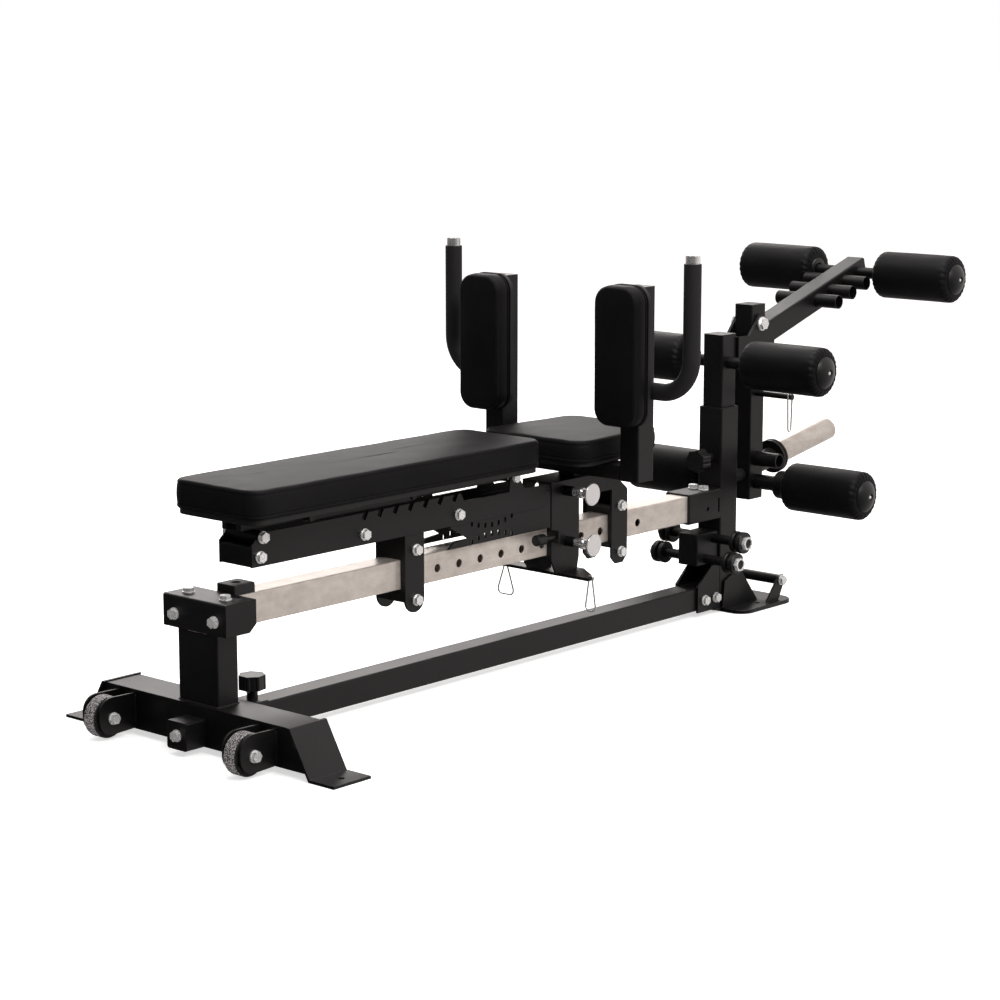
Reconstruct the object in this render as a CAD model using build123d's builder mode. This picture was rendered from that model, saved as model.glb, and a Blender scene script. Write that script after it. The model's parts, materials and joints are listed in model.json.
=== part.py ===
from build123d import *

import os
from math import asin, cos, radians, sin

# Roman chair with a sliding bench and a leg developer.
#
# A polished rail runs from a front foot with transport wheels to a rear tower. A carriage
# slides on the rail. It carries a bench frame with a reclining back pad on a ladder prop, a
# seat pad, and a frame with two split pads and two curved handles. The tower holds a
# telescoping tube with foam rollers, and a leg developer swings on its head.
#
# Millimetres. +X runs along the rail from the wheels to the tower, +Y to the far side,
# +Z up. The origin is on the floor, in the middle of the overall length and width.

os.makedirs("parts", exist_ok=True)

# ---------------------------------------------------------------- driving dimensions

# Places along the rail, measured from the middle of the front post.
wheel_setback = 84.0
front_carriage_start = 455.0
tower_distance = 1460.0
first_rail_hole = 556.0
rail_hole_pitch = 60.0
rail_hole_count = 11
pin_hole_number = 6

# Fits.
running = 0.05
glide = 0.3
slack = 1.0
axle_end_gap = 4.0

# Front foot.
beam_length = 470.0
beam_depth = 76.0
beam_floor_gap = 11.0
beam_height = 72.0
foot_plate_width = 88.0
foot_plate_thickness = 5.0
foot_slope_run = 50.0
foot_flange_length = 60.0
foot_hole_radius = 6.0
socket_length = 43.0
socket_size = 50.0
post_depth = 50.0
post_width = 100.0
cap_width = 160.0
cap_depth = 71.0
cap_drop = 53.0
sheet = 5.0
wheel_radius = 37.5
wheel_width = 27.0
wheel_track = 361.0
wheel_gap = 5.0
axle_bolt_radius = 6.0

# Rails.
rail_width = 50.0
rail_height = 56.0
rail_bottom = 209.0
rail_wall = 2.5
rail_hole_radius = 8.0
lower_rail_size = 50.0
lower_rail_bottom = 13.0
tube_wall = 3.0

# Tower and telescoping tube.
tower_size = 60.0
tower_wall = 4.0
tower_bottom = 8.0
tower_top = 440.0
inner_tube_top = 594.0
inner_tube_length = 430.0
tower_pin_height = 330.0
tower_pin_pitch = 35.0
roller_axle_drop = 60.0

# Leg developer. Its pivot is placed from the tower and the tube's top, the rest from the pivot.
developer_offset = 106.0
pivot_rise = 14.0
swing_tube_depth = 50.0
swing_tube_width = 46.0
swing_tube_above = 41.0
swing_tube_below = 380.0
low_axle_rise = 38.0
spare_socket_rise = 50.0
spare_socket_half = 84.0
arm_rise_deg = 17.5
arm_root_drop = 36.0
arm_reach = 421.0
arm_axle_reach = 392.0
arm_stub_pitch = 55.0
arm_stub_count = 3
arm_stub_half = 80.0
horn_rise_deg = 10.0
horn_root_rise = 30.0
horn_flange_offset = 60.0
horn_sleeve_length = 205.0
horn_sleeve_radius = 24.0
horn_flange_radius = 37.0

# Foam rollers.
axle_radius = 12.5
roller_radius = 51.5
roller_length = 190.0
top_roller_inner_face = 86.0
middle_roller_inner_face = 80.0
roller_dome = 15.0
dome_rim = 33.0
low_roller_inner_face = 116.0

# Bench frame, back pad and prop. Each height is measured from the piece below.
bench_front = 66.0
ladder_outer = 42.0
plate = 4.0
ladder_clearance = 48.0
ladder_height = 59.0
ladder_low_height = 43.0
first_slot = 350.0
slot_pitch = 40.0
slot_count = 7
back_hinge_distance = 758.0
back_hinge_rise = 10.0
prop_pivot_distance = 483.0
pin_radius = 6.0
back_pad_start = 15.0
back_pad_end = 768.0
back_pad_half_width = 107.0
back_pad_rise = 18.0
back_pad_thickness = 66.0

# Seat carriage, placed from the rail hole its pin stands at.
pin_setback = 46.0
seat_carriage_length = 236.0
seat_plate_rise = 87.0

# Seat and split pads.
seat_lead = 25.0
seat_length = 270.0
seat_half_front = 140.0
seat_half_rear = 118.0
seat_rise = 46.0
seat_thickness = 55.0
pad_post_setback = 68.0
pad_post_size = 50.0
pad_post_spacing = 350.0
pad_post_width = 46.0
pad_post_rise = 13.0
pad_post_height = 379.0
split_pad_width = 102.0
split_pad_height = 269.0
split_pad_thickness = 42.0
split_pad_rise = 248.0
pad_board_thickness = 9.0
handle_radius = 14.0
grip_radius = 17.0
handle_half_spread = 306.0
handle_leg_rise = 179.0
handle_height = 266.0
handle_bend = 68.0

# ---------------------------------------------------------------- derived places

developer_distance = tower_distance + developer_offset
rear_reach = developer_distance + arm_axle_reach * cos(radians(arm_rise_deg)) + roller_radius
front_post_x = (wheel_setback + wheel_radius - rear_reach) / 2
tower_x = front_post_x + tower_distance
tower_front_x = tower_x - tower_size / 2
tower_back_x = tower_x + tower_size / 2
developer_x = front_post_x + developer_distance
wheel_x = front_post_x - wheel_setback
wheel_z = wheel_radius + wheel_gap / 2
beam_middle_x = front_post_x - post_depth / 2 - 8 + beam_depth / 2
beam_front_x = beam_middle_x - beam_depth / 2
beam_top = beam_floor_gap + beam_height
lower_socket_start = beam_middle_x + beam_depth / 2
lower_socket_end = lower_socket_start + 72

rail_top = rail_bottom + rail_height
rail_middle_z = rail_bottom + rail_height / 2
rail_start_x = front_post_x - post_depth / 2 + slack
rail_end_x = tower_front_x - slack
carriage_outer = rail_width / 2 + 13
carriage_inner = carriage_outer - plate
pin_distance = first_rail_hole + pin_hole_number * rail_hole_pitch
pin_x = front_post_x + pin_distance
seat_carriage_start = pin_distance - pin_setback
seat_carriage_end = seat_carriage_start + seat_carriage_length

inner_tube_size = tower_size - 2 * tower_wall - 2 * slack
roller_axle_height = inner_tube_top - roller_axle_drop
developer_pivot_height = inner_tube_top + pivot_rise
swing_tube_top = developer_pivot_height + swing_tube_above
swing_tube_bottom = developer_pivot_height - swing_tube_below
low_axle_height = swing_tube_bottom + low_axle_rise
spare_socket_height = low_axle_height + spare_socket_rise
horn_root_height = low_axle_height + horn_root_rise
arm_root_height = developer_pivot_height - arm_root_drop

ladder_bottom = rail_top + ladder_clearance
ladder_top = ladder_bottom + ladder_height
ladder_low_top = ladder_bottom + ladder_low_height
back_hinge_height = ladder_top + back_hinge_rise
back_pad_bottom = back_hinge_height + back_pad_rise
back_pad_top = back_pad_bottom + back_pad_thickness
hinge_x = front_post_x + back_hinge_distance
prop_x = front_post_x + prop_pivot_distance
prop_length = back_hinge_distance - prop_pivot_distance
prop_rod_x = prop_x - prop_length

top_plate_z = rail_top + seat_plate_rise
seat_start = seat_carriage_start - seat_lead
seat_end = seat_start + seat_length
seat_bottom = top_plate_z + seat_rise
seat_top = seat_bottom + seat_thickness
pad_post_start = seat_carriage_start + pad_post_setback
pad_post_bottom = top_plate_z + pad_post_rise
pad_post_top = pad_post_bottom + pad_post_height
split_pad_middle = pad_post_bottom + split_pad_rise
handle_leg_height = pad_post_bottom + handle_leg_rise
handle_top = handle_leg_height + handle_height


def written(part, name):
    """Label a finished part and write it under its own name."""
    part.label = name
    export_step(part, f"parts/{name}.step")
    print(name, len(part.solids()), round(part.volume))


def from_post(distance):
    """X of a place given by its distance from the front post."""
    return front_post_x + distance


def facing_x(x, y=0.0, z=0.0):
    """Plane across the rail, its local x along +Y and its local y up."""
    return Plane(origin=(x, y, z), x_dir=(0, 1, 0), z_dir=(1, 0, 0))


def side_plane(y, x=0.0, z=0.0):
    """Upright plane along the rail at a given Y, facing the near side, its local y up."""
    return Plane(origin=(x, y, z), x_dir=(1, 0, 0), z_dir=(0, -1, 0))


def tube_along_x(start, end, width, height, wall, y=0.0, z=0.0, corner=4.0):
    """Rectangular tube along the rail, centred at y and z."""
    with BuildSketch(facing_x(start, y, z)) as profile:
        RectangleRounded(width, height, corner)
        RectangleRounded(width - 2 * wall, height - 2 * wall, corner / 2, mode=Mode.SUBTRACT)
    extrude(profile.sketch, amount=end - start)


def tube_along_y(half, depth, height, wall, x, z, corner=4.0):
    """Rectangular tube across the machine, centred on its middle plane."""
    with BuildSketch(side_plane(0, x, z)) as profile:
        RectangleRounded(depth, height, corner)
        RectangleRounded(depth - 2 * wall, height - 2 * wall, corner / 2, mode=Mode.SUBTRACT)
    extrude(profile.sketch, amount=half, both=True)


def tube_along_z(bottom, top, depth, width, wall, x, y=0.0, corner=4.0):
    """Rectangular tube standing upright."""
    with BuildSketch(Plane(origin=(x, y, bottom))) as profile:
        RectangleRounded(depth, width, corner)
        RectangleRounded(depth - 2 * wall, width - 2 * wall, corner / 2, mode=Mode.SUBTRACT)
    extrude(profile.sketch, amount=top - bottom)


def rod_along_x(start, end, radius, y, z, mode=Mode.ADD):
    with BuildSketch(facing_x(start, y, z)) as profile:
        Circle(radius)
    extrude(profile.sketch, amount=end - start, mode=mode)


def rod_along_y(start, end, radius, x, z, mode=Mode.ADD):
    """Round bar from start, the lower Y, to end, the higher."""
    with BuildSketch(side_plane(end, x, z)) as profile:
        Circle(radius)
    extrude(profile.sketch, amount=end - start, mode=mode)


def rod_along_z(bottom, top, radius, x, y, mode=Mode.ADD):
    with BuildSketch(Plane(origin=(x, y, bottom))) as profile:
        Circle(radius)
    extrude(profile.sketch, amount=top - bottom, mode=mode)


def side_plates(outline, outer, thickness, holes=(), hole_radius=0.0):
    """Two equal upright plates, one on each side, cut from an outline of X and Z points."""
    with BuildSketch(side_plane(-outer + thickness)) as profile:
        Polygon(*outline, align=None)
        if holes:
            with Locations(*holes):
                Circle(hole_radius, mode=Mode.SUBTRACT)
    extrude(profile.sketch, amount=thickness)
    mirror(about=Plane.XZ)


# ---------------------------------------------------------------- bolts

bolt_radius = 5.0
bolt_hole = bolt_radius + 0.2
bolt_head_width = 17.0
bolt_head_height = 7.0
washer_radius = 11.0
washer_thickness = 2.0


def hex_bolt(seat, grip):
    """Hex bolt and washer on a seat plane, with its shank going grip deep behind the seat."""
    with BuildSketch(seat) as profile:
        Circle(washer_radius)
    extrude(profile.sketch, amount=washer_thickness)
    with BuildSketch(seat.offset(washer_thickness)) as profile:
        RegularPolygon(bolt_head_width / 2, 6, major_radius=False)
    extrude(profile.sketch, amount=bolt_head_height)
    with BuildSketch(seat) as profile:
        Circle(bolt_radius)
    extrude(profile.sketch, amount=-grip)


# ---------------------------------------------------------------- front foot

# Crossbeam whose ends lean out to meet the bent end plates.
foot_half = beam_length / 2
beam_slope = foot_slope_run / (beam_top + 2)
beam_foot_half = foot_half + beam_slope * beam_height
weld_overlap = 3.0
vent_radius = 5.0

# Bent end plates: a slope down to the floor, then a flange with its floor bolt hole.
flange_start = foot_half + foot_slope_run
flange_end = flange_start + foot_flange_length
flange_hole_y = flange_start + 34

# Wheel ears: two rounded plates beside each transport wheel.
wheel_y = wheel_track / 2
ear_gap = wheel_width / 2 + 5.5
ear_radius = 31.0

# Stub tube on the front of the beam, closed by an end plate with a bolt through it.
stub_wall = 4.0
stub_end_x = beam_front_x - socket_length
socket_z = beam_floor_gap + socket_size / 2

# Sleeve that holds the lower rail's front end, with the lock pin's barrel on top.
lower_rail_z = lower_rail_bottom + lower_rail_size / 2
lower_rail_end = tower_front_x - slack
sleeve_inner = lower_rail_size + 2 * slack
sleeve_outer = sleeve_inner + 2 * tube_wall
lock_x = lower_socket_start + 59
lock_radius = 5.0
barrel_radius = 10.0
barrel_top = lower_rail_z + sleeve_outer / 2 + 12

with BuildPart() as front_crossbeam:
    with BuildSketch(facing_x(beam_front_x)):
        Polygon(
            (-foot_half - weld_overlap, beam_top),
            (foot_half + weld_overlap, beam_top),
            (beam_foot_half + weld_overlap, beam_floor_gap),
            (-beam_foot_half - weld_overlap, beam_floor_gap),
            align=None,
        )
    extrude(amount=beam_depth)
    with BuildSketch(facing_x(beam_front_x + tube_wall)):
        Polygon(
            (-foot_half + tube_wall, beam_top - tube_wall),
            (foot_half - tube_wall, beam_top - tube_wall),
            (beam_foot_half - 2 * tube_wall, beam_floor_gap + tube_wall),
            (-beam_foot_half + 2 * tube_wall, beam_floor_gap + tube_wall),
            align=None,
        )
    extrude(amount=beam_depth - 2 * tube_wall, mode=Mode.SUBTRACT)
    with Locations((beam_middle_x, -foot_half / 2, 0), (beam_middle_x, foot_half / 2, 0)):
        Cylinder(vent_radius, beam_floor_gap * 4, mode=Mode.SUBTRACT)
    with BuildSketch(facing_x(beam_middle_x - foot_plate_width / 2)):
        with BuildLine():
            Polyline(
                (foot_half, beam_top + 2),
                (flange_start, 0),
                (flange_end, 0),
                (flange_end, foot_plate_thickness),
                (flange_start + 3, foot_plate_thickness),
                (foot_half + foot_plate_thickness + 1, beam_top + 2),
                close=True,
            )
        make_face()
    extrude(amount=foot_plate_width)
    with Locations((beam_middle_x, flange_hole_y, 0)):
        Cylinder(foot_hole_radius, foot_plate_thickness * 4, mode=Mode.SUBTRACT)
    for y in (wheel_y - ear_gap, wheel_y + ear_gap + plate):
        with BuildSketch(side_plane(y)):
            with BuildLine():
                FilletPolyline(
                    (beam_front_x, beam_floor_gap + 2),
                    (wheel_x - ear_radius, beam_floor_gap - 2),
                    (wheel_x - ear_radius, beam_top - 4),
                    (beam_front_x, beam_top - 6),
                    radius=ear_radius - 2,
                    close=False,
                )
                Line((beam_front_x, beam_top - 6), (beam_front_x, beam_floor_gap + 2))
            make_face()
            with Locations((wheel_x, wheel_z)):
                Circle(axle_bolt_radius + 0.1, mode=Mode.SUBTRACT)
        extrude(amount=plate)
    mirror(about=Plane.XZ)
    tube_along_x(stub_end_x, beam_front_x, socket_size, socket_size, stub_wall, z=socket_z)
    with Locations((stub_end_x + 1 + stub_wall / 2, 0, socket_z)):
        Box(stub_wall, socket_size - stub_wall, socket_size - stub_wall)
    rod_along_x(stub_end_x, stub_end_x + 2 * stub_wall, bolt_hole, 0, socket_z, Mode.SUBTRACT)
    tube_along_x(
        lower_socket_start, lower_socket_end, sleeve_outer, sleeve_outer, tube_wall, z=lower_rail_z
    )
    rod_along_z(lower_rail_z + sleeve_outer / 2 - 1, barrel_top, barrel_radius, lock_x, 0)
    rod_along_z(lower_rail_z, barrel_top + 1, lock_radius + running, lock_x, 0, Mode.SUBTRACT)
written(front_crossbeam.part, "front_crossbeam")

rail_notch = rail_width + 2 * slack
cap_front_x = front_post_x - post_depth / 2 - sheet
cap_bottom = rail_top - cap_drop
cap_bolt_y = 51.0
cap_bolt_z = cap_bottom + 24
cap_top_bolt_x = front_post_x
cap_top_bolt_y = 47.0
cap_plate_top = rail_top + sheet - 1

with BuildPart() as front_post:
    tube_along_z(beam_top, rail_top - 2, post_depth, post_width, tube_wall, front_post_x)
    with Locations((front_post_x, 0, rail_middle_z)):
        Box(post_depth * 2, rail_notch, rail_height, mode=Mode.SUBTRACT)
    for y in (-cap_bolt_y, cap_bolt_y):
        rod_along_x(front_post_x - post_depth, front_post_x, bolt_hole, y, cap_bolt_z, Mode.SUBTRACT)
written(front_post.part, "front_post")

# Bent T-shaped cap over the post's head, open below and behind, where the rail leaves it.
with BuildPart() as post_cap:
    with Locations((cap_front_x + cap_depth / 2, 0, (cap_bottom + cap_plate_top) / 2)):
        Box(cap_depth, cap_width, cap_plate_top - cap_bottom)
    with Locations((cap_front_x + sheet + cap_depth / 2, 0, rail_top - cap_drop / 2)):
        Box(cap_depth, cap_width - 2 * sheet, cap_drop, mode=Mode.SUBTRACT)
    with BuildSketch(side_plane(cap_width)):
        Polygon(
            (cap_front_x + cap_depth, cap_bottom),
            (cap_front_x + cap_depth, cap_bottom + 14),
            (cap_front_x + cap_depth - 16, cap_bottom),
            align=None,
        )
    extrude(amount=2 * cap_width, mode=Mode.SUBTRACT)
    fillet(post_cap.edges().filter_by(Axis.Y).group_by(Axis.Z)[-1].sort_by(Axis.X)[0], sheet - 1)
    for y in (-cap_bolt_y, cap_bolt_y):
        rod_along_x(cap_front_x - 1, cap_front_x + 2 * sheet, bolt_hole, y, cap_bolt_z, Mode.SUBTRACT)
    for y in (-cap_top_bolt_y, cap_top_bolt_y):
        rod_along_z(rail_top - 5, rail_top + 10, bolt_hole, cap_top_bolt_x, y, Mode.SUBTRACT)
written(post_cap.part, "post_cap")

bumper_size = 50.0
bumper_height = 18.0
bumper_x = cap_front_x + cap_depth + 2 + bumper_size / 2

with BuildPart() as rail_bumper:
    with Locations((bumper_x, 0, rail_top)):
        Box(bumper_size, bumper_size - 4, bumper_height, align=(Align.CENTER, Align.CENTER, Align.MIN))
    fillet(rail_bumper.edges().filter_by(Axis.Z), 3)
    fillet(rail_bumper.faces().sort_by(Axis.Z)[-1].edges(), 2)
    with Locations((bumper_x, 0, rail_top + bumper_height)):
        CounterBoreHole(5, 9, 8)
written(rail_bumper.part, "rail_bumper")

for side, name in ((-1, "wheel_near"), (1, "wheel_far")):
    with BuildPart() as wheel:
        with BuildSketch(side_plane(side * wheel_y + wheel_width / 2, wheel_x, wheel_z)):
            Circle(wheel_radius)
        extrude(amount=wheel_width)
        fillet(wheel.edges(), 3)
        middle = side * wheel_y
        for face_y in (middle - wheel_width / 2, middle + wheel_width / 2 - 3):
            with BuildSketch(side_plane(face_y + 3, wheel_x, wheel_z)):
                Circle(wheel_radius - 10)
                Circle(13, mode=Mode.SUBTRACT)
            extrude(amount=3, mode=Mode.SUBTRACT)
        rod_along_y(
            middle - wheel_width,
            middle + wheel_width,
            axle_bolt_radius + running,
            wheel_x,
            wheel_z,
            mode=Mode.SUBTRACT,
        )
    written(wheel.part, name)

# ---------------------------------------------------------------- rails

gusset_bolt_z = lower_rail_bottom + 22
gusset_bolt_pitch = 38.0
near_bolt_x = tower_front_x - washer_radius - 1
gusset_bolts = tuple((x, gusset_bolt_z) for x in (near_bolt_x - gusset_bolt_pitch, near_bolt_x))
hole_xs = [from_post(first_rail_hole + rail_hole_pitch * n) for n in range(rail_hole_count)]

with BuildPart() as main_rail:
    tube_along_x(rail_start_x, rail_end_x, rail_width, rail_height, rail_wall, z=rail_middle_z, corner=3)
    with BuildSketch(side_plane(rail_width)):
        with Locations(*[(x, rail_middle_z - 3) for x in hole_xs]):
            Circle(rail_hole_radius)
    extrude(amount=2 * rail_width, mode=Mode.SUBTRACT)
written(main_rail.part, "main_rail")

with BuildPart() as lower_rail:
    tube_along_x(
        lower_socket_start, lower_rail_end, lower_rail_size, lower_rail_size, tube_wall, z=lower_rail_z
    )
    rod_along_z(lower_rail_z, lower_rail_z + lower_rail_size, lock_radius + 0.2, lock_x, 0, Mode.SUBTRACT)
    for x, z in gusset_bolts:
        rod_along_y(-lower_rail_size, lower_rail_size, bolt_hole, x, z, Mode.SUBTRACT)
written(lower_rail.part, "lower_rail")

# ---------------------------------------------------------------- star knobs

knob_radius = 24.0
knob_thickness = 26.0
knob_lobes = 7


def star_knob(face, pin_length):
    """Lobed knob whose underside is at the face plane, and its pin going behind the plane."""
    with BuildSketch(face) as profile:
        Circle(knob_radius - 2)
        with PolarLocations(knob_radius - 5, knob_lobes):
            Circle(5.6)
    extrude(profile.sketch, amount=knob_thickness)
    with BuildSketch(face) as profile:
        Circle(lock_radius)
    extrude(profile.sketch, amount=-pin_length)


lock_face = Plane(origin=(lock_x, 0, barrel_top + 6))

with BuildPart() as lock_knob:
    star_knob(lock_face, lock_face.origin.Z - (lower_rail_z + lower_rail_size / 2 - 6))
written(lock_knob.part, "lock_knob")

# ---------------------------------------------------------------- tower

with BuildPart() as tower_tube:
    tube_along_z(tower_bottom, tower_top, tower_size, tower_size, tower_wall, tower_x)
    rod_along_x(tower_front_x - 14, tower_front_x + 1, 11, 0, tower_pin_height)
    rod_along_x(
        tower_front_x - 20, tower_x, lock_radius + running, 0, tower_pin_height, mode=Mode.SUBTRACT
    )
written(tower_tube.part, "tower_tube")

# The lock pin is stored pulled back out of the telescoping tube.
tower_pin_travel = 10.0
inner_front_x = tower_x - inner_tube_size / 2
tower_knob_face = Plane(
    origin=(tower_front_x - 14 - tower_pin_travel - slack, 0, tower_pin_height),
    x_dir=(0, 1, 0),
    z_dir=(-1, 0, 0),
)

with BuildPart() as tower_knob:
    star_knob(tower_knob_face, inner_front_x - slack / 2 - tower_knob_face.origin.X)
written(tower_knob.part, "tower_knob")

# Sleeve bracket that bolts the rail's rear end to the tower.
bracket_start = tower_front_x - 108
bracket_outer = rail_width / 2 + 7
bracket_bolt_x = tower_front_x - 38
bracket_hole_x = tower_front_x - 46
bracket_bolt_y = 14.0

with BuildPart() as rail_bracket:
    with Locations(((bracket_start + tower_front_x) / 2, 0, rail_middle_z)):
        Box(tower_front_x - bracket_start, 2 * bracket_outer, rail_height + 8)
        Box(
            tower_front_x - bracket_start,
            rail_width + 2 * running,
            rail_height + 2 * running,
            mode=Mode.SUBTRACT,
        )
    fillet(rail_bracket.edges().filter_by(Axis.X).group_by(Axis.Z)[-1], 4)
    fillet(rail_bracket.edges().filter_by(Axis.X).group_by(Axis.Z)[0], 4)
    rod_along_y(-bracket_outer - 1, bracket_outer + 1, 5, bracket_hole_x, rail_middle_z - 6, Mode.SUBTRACT)
    with Locations((tower_front_x - 8, 0, rail_middle_z - 2)):
        Box(6, 3 * bracket_outer, rail_height - 26, mode=Mode.SUBTRACT)
    for y in (-bracket_bolt_y, bracket_bolt_y):
        rod_along_z(rail_top - 1, rail_top + 9, bolt_hole, bracket_bolt_x, y, Mode.SUBTRACT)
written(rail_bracket.part, "rail_bracket")

# Peg block and its two rods with spools, for resistance bands.
peg_block_start = tower_front_x - 73
peg_block_bottom = 110.0
peg_block_height = 68.0
peg_radius = 10.0
peg_half = 108.0
peg_places = ((tower_front_x - 40, peg_block_bottom + 12), (tower_front_x - 14, peg_block_bottom + 53))

with BuildPart() as peg_block:
    with Locations(((peg_block_start + tower_front_x) / 2, 0, peg_block_bottom + peg_block_height / 2)):
        Box(tower_front_x - peg_block_start, 50, peg_block_height)
    fillet(peg_block.edges().filter_by(Axis.Z).group_by(Axis.X)[0], 3)
    fillet(peg_block.edges().filter_by(Axis.Y).group_by(Axis.X)[0], 2)
    for x, z in peg_places:
        rod_along_y(-60, 60, peg_radius + running, x, z, mode=Mode.SUBTRACT)
written(peg_block.part, "peg_block")

with BuildPart() as band_pegs:
    for x, z in peg_places:
        rod_along_y(-peg_half - 6, peg_half + 6, peg_radius, x, z)
written(band_pegs.part, "band_pegs")

spool_radius = 23.0
spool_length = 28.0

with BuildPart() as peg_spools:
    for x, z in peg_places:
        with BuildSketch(Plane(origin=(x, 0, z), x_dir=(0, 1, 0), z_dir=(1, 0, 0))):
            with Locations((peg_half - spool_length / 2, (peg_radius + running + spool_radius) / 2)):
                Rectangle(spool_length, spool_radius - peg_radius - running)
            with Locations((peg_half - spool_length / 2 - 1, spool_radius)):
                Rectangle(7, 16, mode=Mode.SUBTRACT)
        revolve(axis=Axis((x, 0, z), (0, 1, 0)))
    rims = peg_spools.edges().filter_by(GeomType.CIRCLE).filter_by(lambda e: e.radius > spool_radius - 1)
    fillet(rims, 2)
    mirror(about=Plane.XZ)
written(peg_spools.part, "peg_spools")

# ---------------------------------------------------------------- rear foot

base_start = tower_front_x + 10
base_end = tower_back_x + 140
base_half = 88.0
base_thickness = tower_bottom
handle_x = tower_back_x + 107
floor_bolt_x = tower_back_x + 40
handle_z = 50.0
handle_half = 68.0

with BuildPart() as base_plate:
    with BuildSketch():
        with Locations(((base_start + base_end) / 2, 0)):
            RectangleRounded(base_end - base_start, 2 * base_half, 34)
    extrude(amount=base_thickness)
    fillet(base_plate.faces().sort_by(Axis.Z)[-1].edges(), 2)
    with Locations((floor_bolt_x, -58, 0), (floor_bolt_x, 58, 0)):
        Cylinder(6, base_thickness * 4, mode=Mode.SUBTRACT)
    with BuildSketch(side_plane(-handle_half)):
        with BuildLine():
            Polyline(
                (tower_back_x + 55, base_thickness),
                (tower_back_x + 98, base_thickness),
                (handle_x + 11, handle_z - 4),
                (handle_x + 6, handle_z + 12),
                (handle_x - 9, handle_z + 9),
                close=True,
            )
        make_face()
        with Locations((handle_x, handle_z)):
            Circle(bolt_hole, mode=Mode.SUBTRACT)
    extrude(amount=sheet)
    mirror(about=Plane.XZ)
written(base_plate.part, "base_plate")

gusset_inner = lower_rail_size / 2 + 0.5
gusset_start = tower_front_x - 74
gusset_top = peg_block_bottom - 4

with BuildPart() as tower_gussets:
    side_plates(
        (
            (gusset_start, lower_rail_bottom - 3),
            (gusset_start, gusset_top - 40),
            (gusset_start + 46, gusset_top),
            (tower_front_x, gusset_top),
            (tower_front_x, lower_rail_bottom - 3),
        ),
        gusset_inner + sheet,
        sheet,
        gusset_bolts,
        bolt_hole,
    )
    side_plates(
        (
            (tower_front_x + 6, base_thickness),
            (tower_front_x + 14, 66),
            (tower_back_x + 7, 88),
            (tower_back_x + 72, base_thickness),
        ),
        tower_size / 2 + sheet,
        sheet,
    )
written(tower_gussets.part, "tower_gussets")

with BuildPart() as lift_handle:
    rod_along_y(-handle_half, handle_half, 11, handle_x, handle_z)
    rod_along_y(-handle_half - 1, handle_half + 1, bolt_hole, handle_x, handle_z, mode=Mode.SUBTRACT)
written(lift_handle.part, "lift_handle")

# ---------------------------------------------------------------- frame bolts

front_seats = [
    (Plane(origin=(cap_front_x, y, cap_bolt_z), z_dir=(-1, 0, 0)), 14)
    for y in (-cap_bolt_y, cap_bolt_y)
]
stub_seats = [(Plane(origin=(stub_end_x + 1, 0, socket_z), z_dir=(-1, 0, 0)), stub_wall)]
top_seats = [
    (Plane(origin=(cap_top_bolt_x, y, cap_plate_top)), sheet) for y in (-cap_top_bolt_y, cap_top_bolt_y)
]
bracket_seats = [
    (Plane(origin=(bracket_bolt_x, y, rail_top + 4)), 3) for y in (-bracket_bolt_y, bracket_bolt_y)
]
gusset_seats = [
    (Plane(origin=(x, side * (gusset_inner + sheet), z), z_dir=(0, side, 0)), 14)
    for x, z in gusset_bolts
    for side in (-1, 1)
]
handle_seats = [
    (Plane(origin=(handle_x, side * (handle_half + sheet), handle_z), z_dir=(0, side, 0)), 20)
    for side in (-1, 1)
]

with BuildPart() as frame_bolts:
    for seat, grip in front_seats + stub_seats + top_seats + bracket_seats + gusset_seats + handle_seats:
        hex_bolt(seat, grip)
    for middle in (-wheel_y, wheel_y):
        head_y = middle - ear_gap - plate
        rod_along_y(head_y - 1, middle + ear_gap + plate + 3, axle_bolt_radius, wheel_x, wheel_z)
        rod_along_y(head_y - 2.5, head_y, washer_radius, wheel_x, wheel_z)
        with BuildSketch(side_plane(head_y - 2.5, wheel_x, wheel_z)):
            RegularPolygon(bolt_head_width / 2, 6, major_radius=False)
        extrude(amount=bolt_head_height)
        with BuildSketch(side_plane(middle + ear_gap + plate + 8, wheel_x, wheel_z)):
            RegularPolygon(bolt_head_width / 2, 6, major_radius=False)
        extrude(amount=8)
    for x, z in peg_places:
        for y in (-peg_half - 8.2, peg_half + 0.2):
            with BuildSketch(side_plane(y + 8, x, z)):
                RegularPolygon(13, 6, major_radius=False)
                Circle(peg_radius + running, mode=Mode.SUBTRACT)
            extrude(amount=8)
written(frame_bolts.part, "frame_bolts")

# ---------------------------------------------------------------- telescoping tube

head_web_x = tower_x + inner_tube_size / 2
head_outer = inner_tube_size / 2 + 6
pivot_radius = 8.0

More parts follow.
